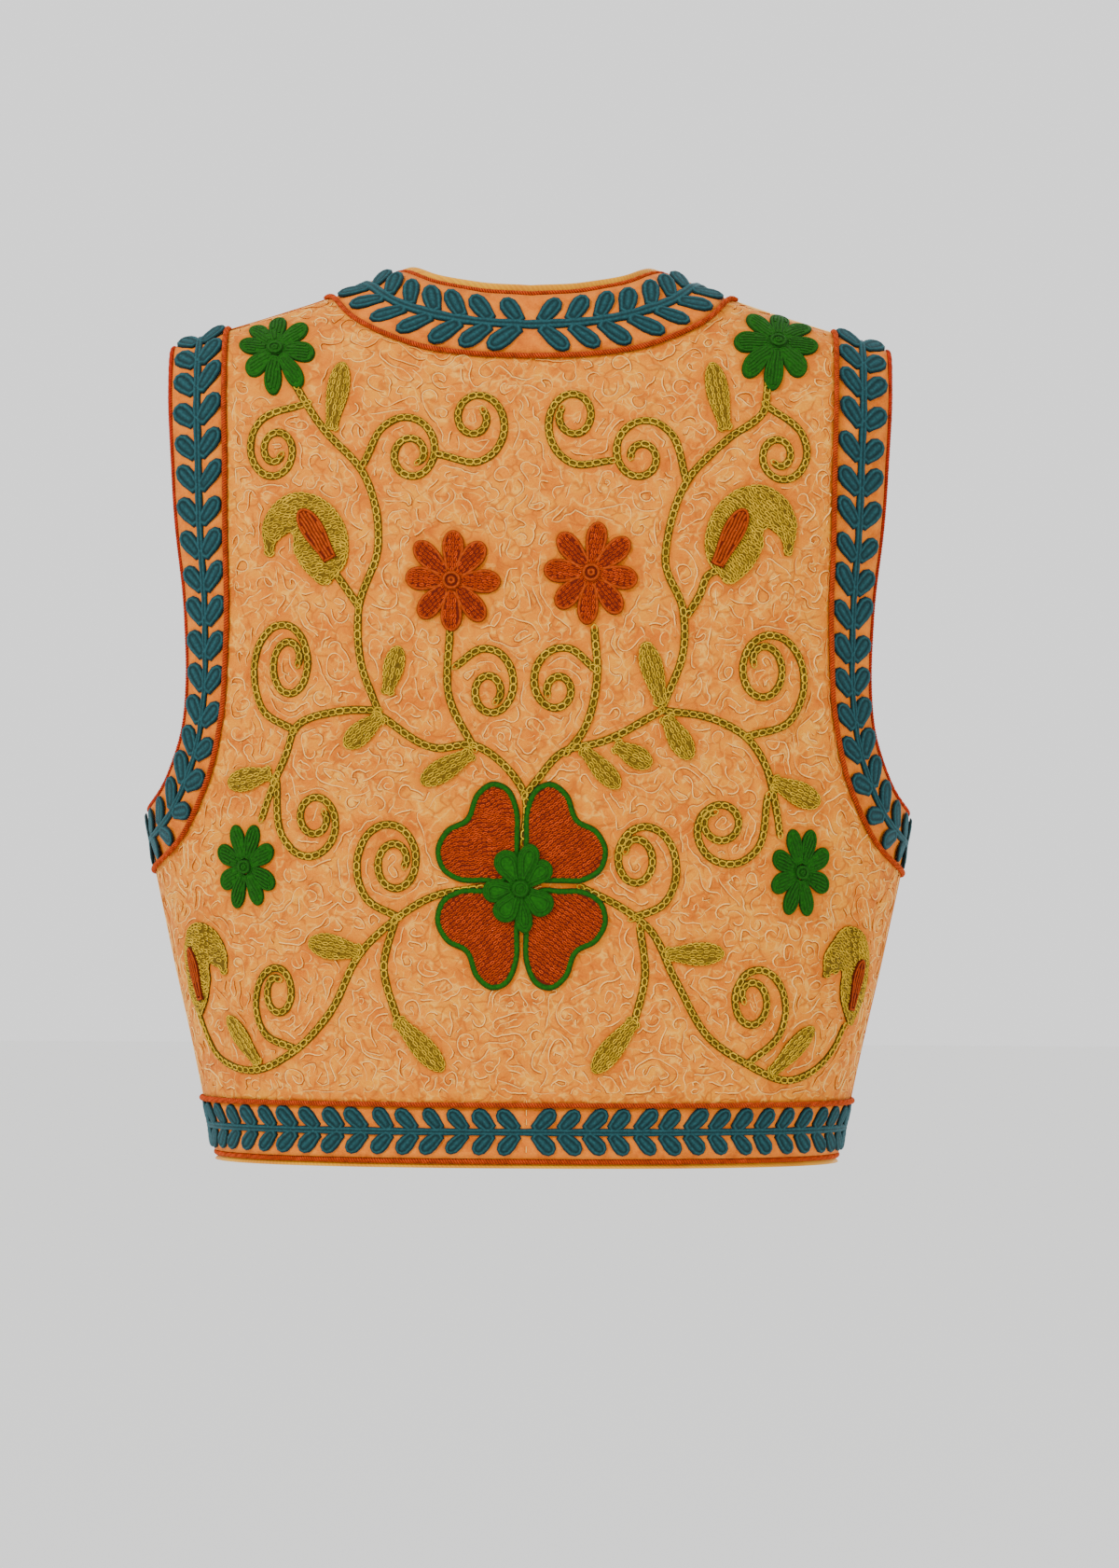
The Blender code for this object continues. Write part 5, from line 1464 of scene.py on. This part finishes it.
# ---- The leaves on the vines
# Club-shaped olive leaves along the vines: low pads of wool, sewn down by their edges. Each is worked with a
# rim row and lengthwise rows of small chain stitch.

VINE_LEAVES = [  # root x, height; tip x, height; width
    (-106.3, -66.0, -100.3, -29.0, 11.0), (-75.0, -207.4, -68.8, -181.7, 11.0),
    (-78.1, -218.8, -97.3, -235.4, 12.5), (-136.7, -249.4, -160.4, -255.5, 12.5),
    (-29.5, -238.1, -56.6, -254.7, 12.5), (-88.4, -345.0, -116.5, -339.9, 13.5),
    (-68.7, -380.9, -44.0, -407.9, 12.5), (-142.9, -406.1, -160.3, -380.2, 11.0),
    (104.5, -65.0, 97.2, -28.3, 11.0), (70.9, -212.2, 61.8, -178.9, 12.0),
    (72.9, -218.1, 86.6, -241.1, 12.5), (45.9, -233.8, 65.7, -244.4, 12.0),
    (29.0, -235.7, 48.7, -256.7, 11.0), (130.2, -252.7, 156.0, -264.3, 13.5),
    (73.4, -345.4, 104.9, -344.8, 12.5), (57.6, -380.5, 35.5, -408.5, 12.5),
    (130.0, -409.5, 153.5, -384.5, 11.5),
]
VINE_LEAF_TOP, VINE_LEAF_ROOT = 1.3, 0.55
shapes, rows = [], []
for k, (root_x, root_height, tip_x, tip_height, width) in enumerate(VINE_LEAVES):
    root = lay("back", root_x, root_height)
    run = lay("back", tip_x, tip_height) - root
    turn = clockwise_from_up(run)
    girth = VINE_LEAF_ROOT * width
    outline, middle = placed_club(root, turn, 0.0, np.linalg.norm(run), width, girth, widest=0.6)
    shapes.append((outline, middle, 1.2, 0.1))
    motif_outlines.append(outline)
    rows.append(rim_row(outline, RIM_IN, VINE_LEAF_TOP))
    rows += rows_within(outline, 90 - turn, 2.5, VINE_LEAF_TOP, 2.3, 40 + k, wave=0.3)
pads("vine_leaves", None, shapes, olive_underlay_and_shade)
chains("vine_leaf_stitches", rows, "olive_wool", olive_wool,
       pitch=3.3, length=4.3, width=2.2, thread=0.9, seed=31, uneven=0.12)

# ---- The quilting threads
# Pale thread that wanders all over the ground between the vines, couched, with painted shade on one side of
# it for the furrow beside it. It never crosses itself: each length turns away from the ones laid before it.

THREAD_GAP, THREAD_STEP, THREAD_AHEAD = 3.0, 1.5, 2.9
THREAD_WIDTH, THREAD_HEIGHT, THREAD_SUNK = 1.5, 0.45, -0.1
CELL, BLOCK = 0.8, 4  # the cloth is marked off in cells this wide, tested for its rim in blocks of cells
SWERVES = (0, 0.6, -0.6, 1.2, -1.2, 1.8, -1.8)
BEND_DRIFT, BEND_MOST, CORNER_CHANCE, CORNER = 0.16, 0.5, 0.05, 1.4  # turns in radians at each step
FEWEST_STEPS, MOST_STEPS = 8, 46
CLEAR_OF_RIM, CLEAR_OF_VINES, CLEAR_OF_MOTIFS, CLEAR_OF_DAISIES = 3.0, 3.6, 2.0, 1.0
PETAL_MIDDLE, PETAL_CLEAR = 1.08, 28.0  # a round space in each big petal: how far out, and its radius
# How far from the raised work the painted shade on the ground reaches, and how deep it is at most.
SHADE_BESIDE_REACH, SHADE_BESIDE_MOST = 6.5, 0.75


def quilting_thread():
    """Cream thread on one side of the ridge, and painted shade for the furrow beside it on the other."""
    material, tree = cloth_material("quilting_thread", 0.85, 0.1, (1.0, 0.7, 0.4))
    across = put(tree, "ShaderNodeAttribute", give="Fac", attribute_name="across")
    stops = [(0.28, (0.36, 0.065, 0.001)), (0.48, (0.60, 0.20, 0.012)), (0.62, (0.82, 0.49, 0.13))]
    return dyed(material, ramp(tree, across, stops))


def disc(radius):
    i, j = np.mgrid[-radius: radius + 1, -radius: radius + 1]
    return i**2 + j**2 <= radius**2 + 0.5


def rim_of(grid):
    return np.concatenate([grid[0], grid[1:, -1], grid[-1, -2::-1], grid[-2:0:-1, 0]])


def meanders(rim, kept_clear, seed, tries):
    """Wandering lines inside a panel's rim, clear of the marked places and of each other."""
    rng = np.random.default_rng(seed)
    low, high = rim.min(axis=0) - 4, rim.max(axis=0) + 4
    size = np.ceil((high - low) / CELL).astype(int)
    ticks = (low[i] + np.arange(0, size[i] + BLOCK, BLOCK) * CELL for i in (0, 1))
    field = np.stack(np.meshgrid(*ticks, indexing="ij"), axis=-1)
    outside = ~inside(field, rim) | (depth_in(field, rim) < CLEAR_OF_RIM)
    taken = np.repeat(np.repeat(outside, BLOCK, axis=0), BLOCK, axis=1)

    def cell(point):
        return tuple(np.clip(((point - low) / CELL).astype(int), 0, np.array(taken.shape) - 1))

    def mark(point, radius):
        i, j = cell(point)
        r = int(np.ceil(radius / CELL))
        spot = taken[max(i - r, 0): i + r + 1, max(j - r, 0): j + r + 1]
        spot |= disc(r)[max(r - i, 0):, max(r - j, 0):][: spot.shape[0], : spot.shape[1]]

    for point, radius in kept_clear:
        mark(point, radius)
    lines = []
    for _ in range(tries):
        here = rng.uniform(low, high)
        if taken[cell(here)]:
            continue
        heading, bend, line = rng.uniform(0, 2 * np.pi), 0.0, [here]
        for _ in range(rng.integers(FEWEST_STEPS, MOST_STEPS)):
            bend = np.clip(bend + rng.normal(0, BEND_DRIFT), -BEND_MOST, BEND_MOST)
            heading += bend + (rng.uniform() < CORNER_CHANCE) * rng.choice([-CORNER, CORNER])
            for swerve in SWERVES:
                way = np.array([np.cos(heading + swerve), np.sin(heading + swerve)])
                if not taken[cell(here + THREAD_AHEAD * way)] and not taken[cell(here + THREAD_STEP * way)]:
                    break
            else:
                break
            heading += swerve
            here = here + THREAD_STEP * way
            line.append(here)
            if len(line) > 4:
                mark(line[-4], THREAD_GAP / 2)
        if len(line) > 5:
            for point in line:
                mark(point, THREAD_GAP / 2 + 0.2)
            lines.append(np.array(line))
    return lines


def darken_beside(piece, grid, lines):
    """Paints shade onto a panel close beside the raised lines worked over it, for the shadow that they cast
    on it.
    """
    points = np.concatenate(lines)
    near = KDTree(len(points))
    for k, (s, level) in enumerate(points):
        near.insert((s, level, 0), k)
    near.balance()
    gaps = np.array([near.find((s, level, 0))[2] for s, level in grid.reshape(-1, 2)])
    share = SHADE_BESIDE_MOST * np.clip(1 - gaps / SHADE_BESIDE_REACH, 0, 1)
    mark_points(piece.data, "beside", np.append(share, 0 * share))


def quilting(name, lines, side, flip=1):
    rows = [(line * (flip, 1), THREAD_SUNK) for line in lines]
    ridges(name, rows, "ground_cloth", thread_with_painted_furrow, THREAD_WIDTH, THREAD_HEIGHT, 1.9, sides=3, side=side)


thread_with_painted_furrow = quilting_thread()
clear = [(point, CLEAR_OF_VINES) for line in vine_lines for point in line[::2]]
for outline in motif_outlines:
    x, y = np.meshgrid(*(np.arange(outline[:, i].min(), outline[:, i].max(), 1.5) for i in (0, 1)))
    points = np.stack([x.ravel(), y.ravel()], axis=1)
    clear += [(point, CLEAR_OF_MOTIFS) for point in points[inside(points, outline)]]
for _, x, height, across, up, _ in DAISIES:
    centre, radius = lay("back", x, height), across + CLEAR_OF_DAISIES
    clear += [(centre + (0, rise), radius) for rise in (across - up, 0.0, up - across)]
for _, turn, radius, *_ in PETALS:
    clear.append((flower_centre + petal_outline(turn, radius).mean(axis=0) * PETAL_MIDDLE, PETAL_CLEAR))
quilting("quilting_threads_back", meanders(rim_of(back_laid), clear, seed=2, tries=11000), "back")
for (suffix, flip), seed in zip(BOTH_SIDES, (5, 6)):
    quilting("quilting_threads_" + suffix, meanders(rim_of(front_laid), [], seed, tries=5000), "front", flip)

# Painted shade on the back's ground beside the vines, motifs and worked rows.
worked_lines = [line for line, _ in edging + green_rows + orange_rims]
darken_beside(back_cloth, back_laid, vine_lines + motif_outlines + worked_lines)

# ---- The seams
# The back and the fronts are joined at the sides and the shoulders by plain seams, folded flat to one side.
# Each shows as a low fold, with painted shade on one side for the furrow beside it. A row of short pale
# stitches marks the hem's middle.

SEAM_RISE = 0.1
HEM_STITCHES, STITCH_LENGTH = (3.5, 18.0, 23.0, 28.0), 3.2

folds = []
for _, flip in BOTH_SIDES:
    folds += [(line * (flip, 1), SEAM_RISE) for line in (side_seam("back"), shoulder_seam("back"))]
ridges("side_and_shoulder_seams", folds, "ground_cloth", thread_with_painted_furrow, width=2.6, height=0.8, step=2.5)
stitch = np.linspace(0, STITCH_LENGTH, 4)
rows = [(np.stack([0 * stitch, HEM_LEVEL + start + stitch], axis=1), SEAM_RISE) for start in HEM_STITCHES]
ridges("hem_centre_stitches", rows, "ground_cloth", thread_with_painted_furrow, width=1.0, height=0.5, step=1.0)

size = {"cad": [list(v) for v in cad_box], "visual": [list(v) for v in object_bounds()]}
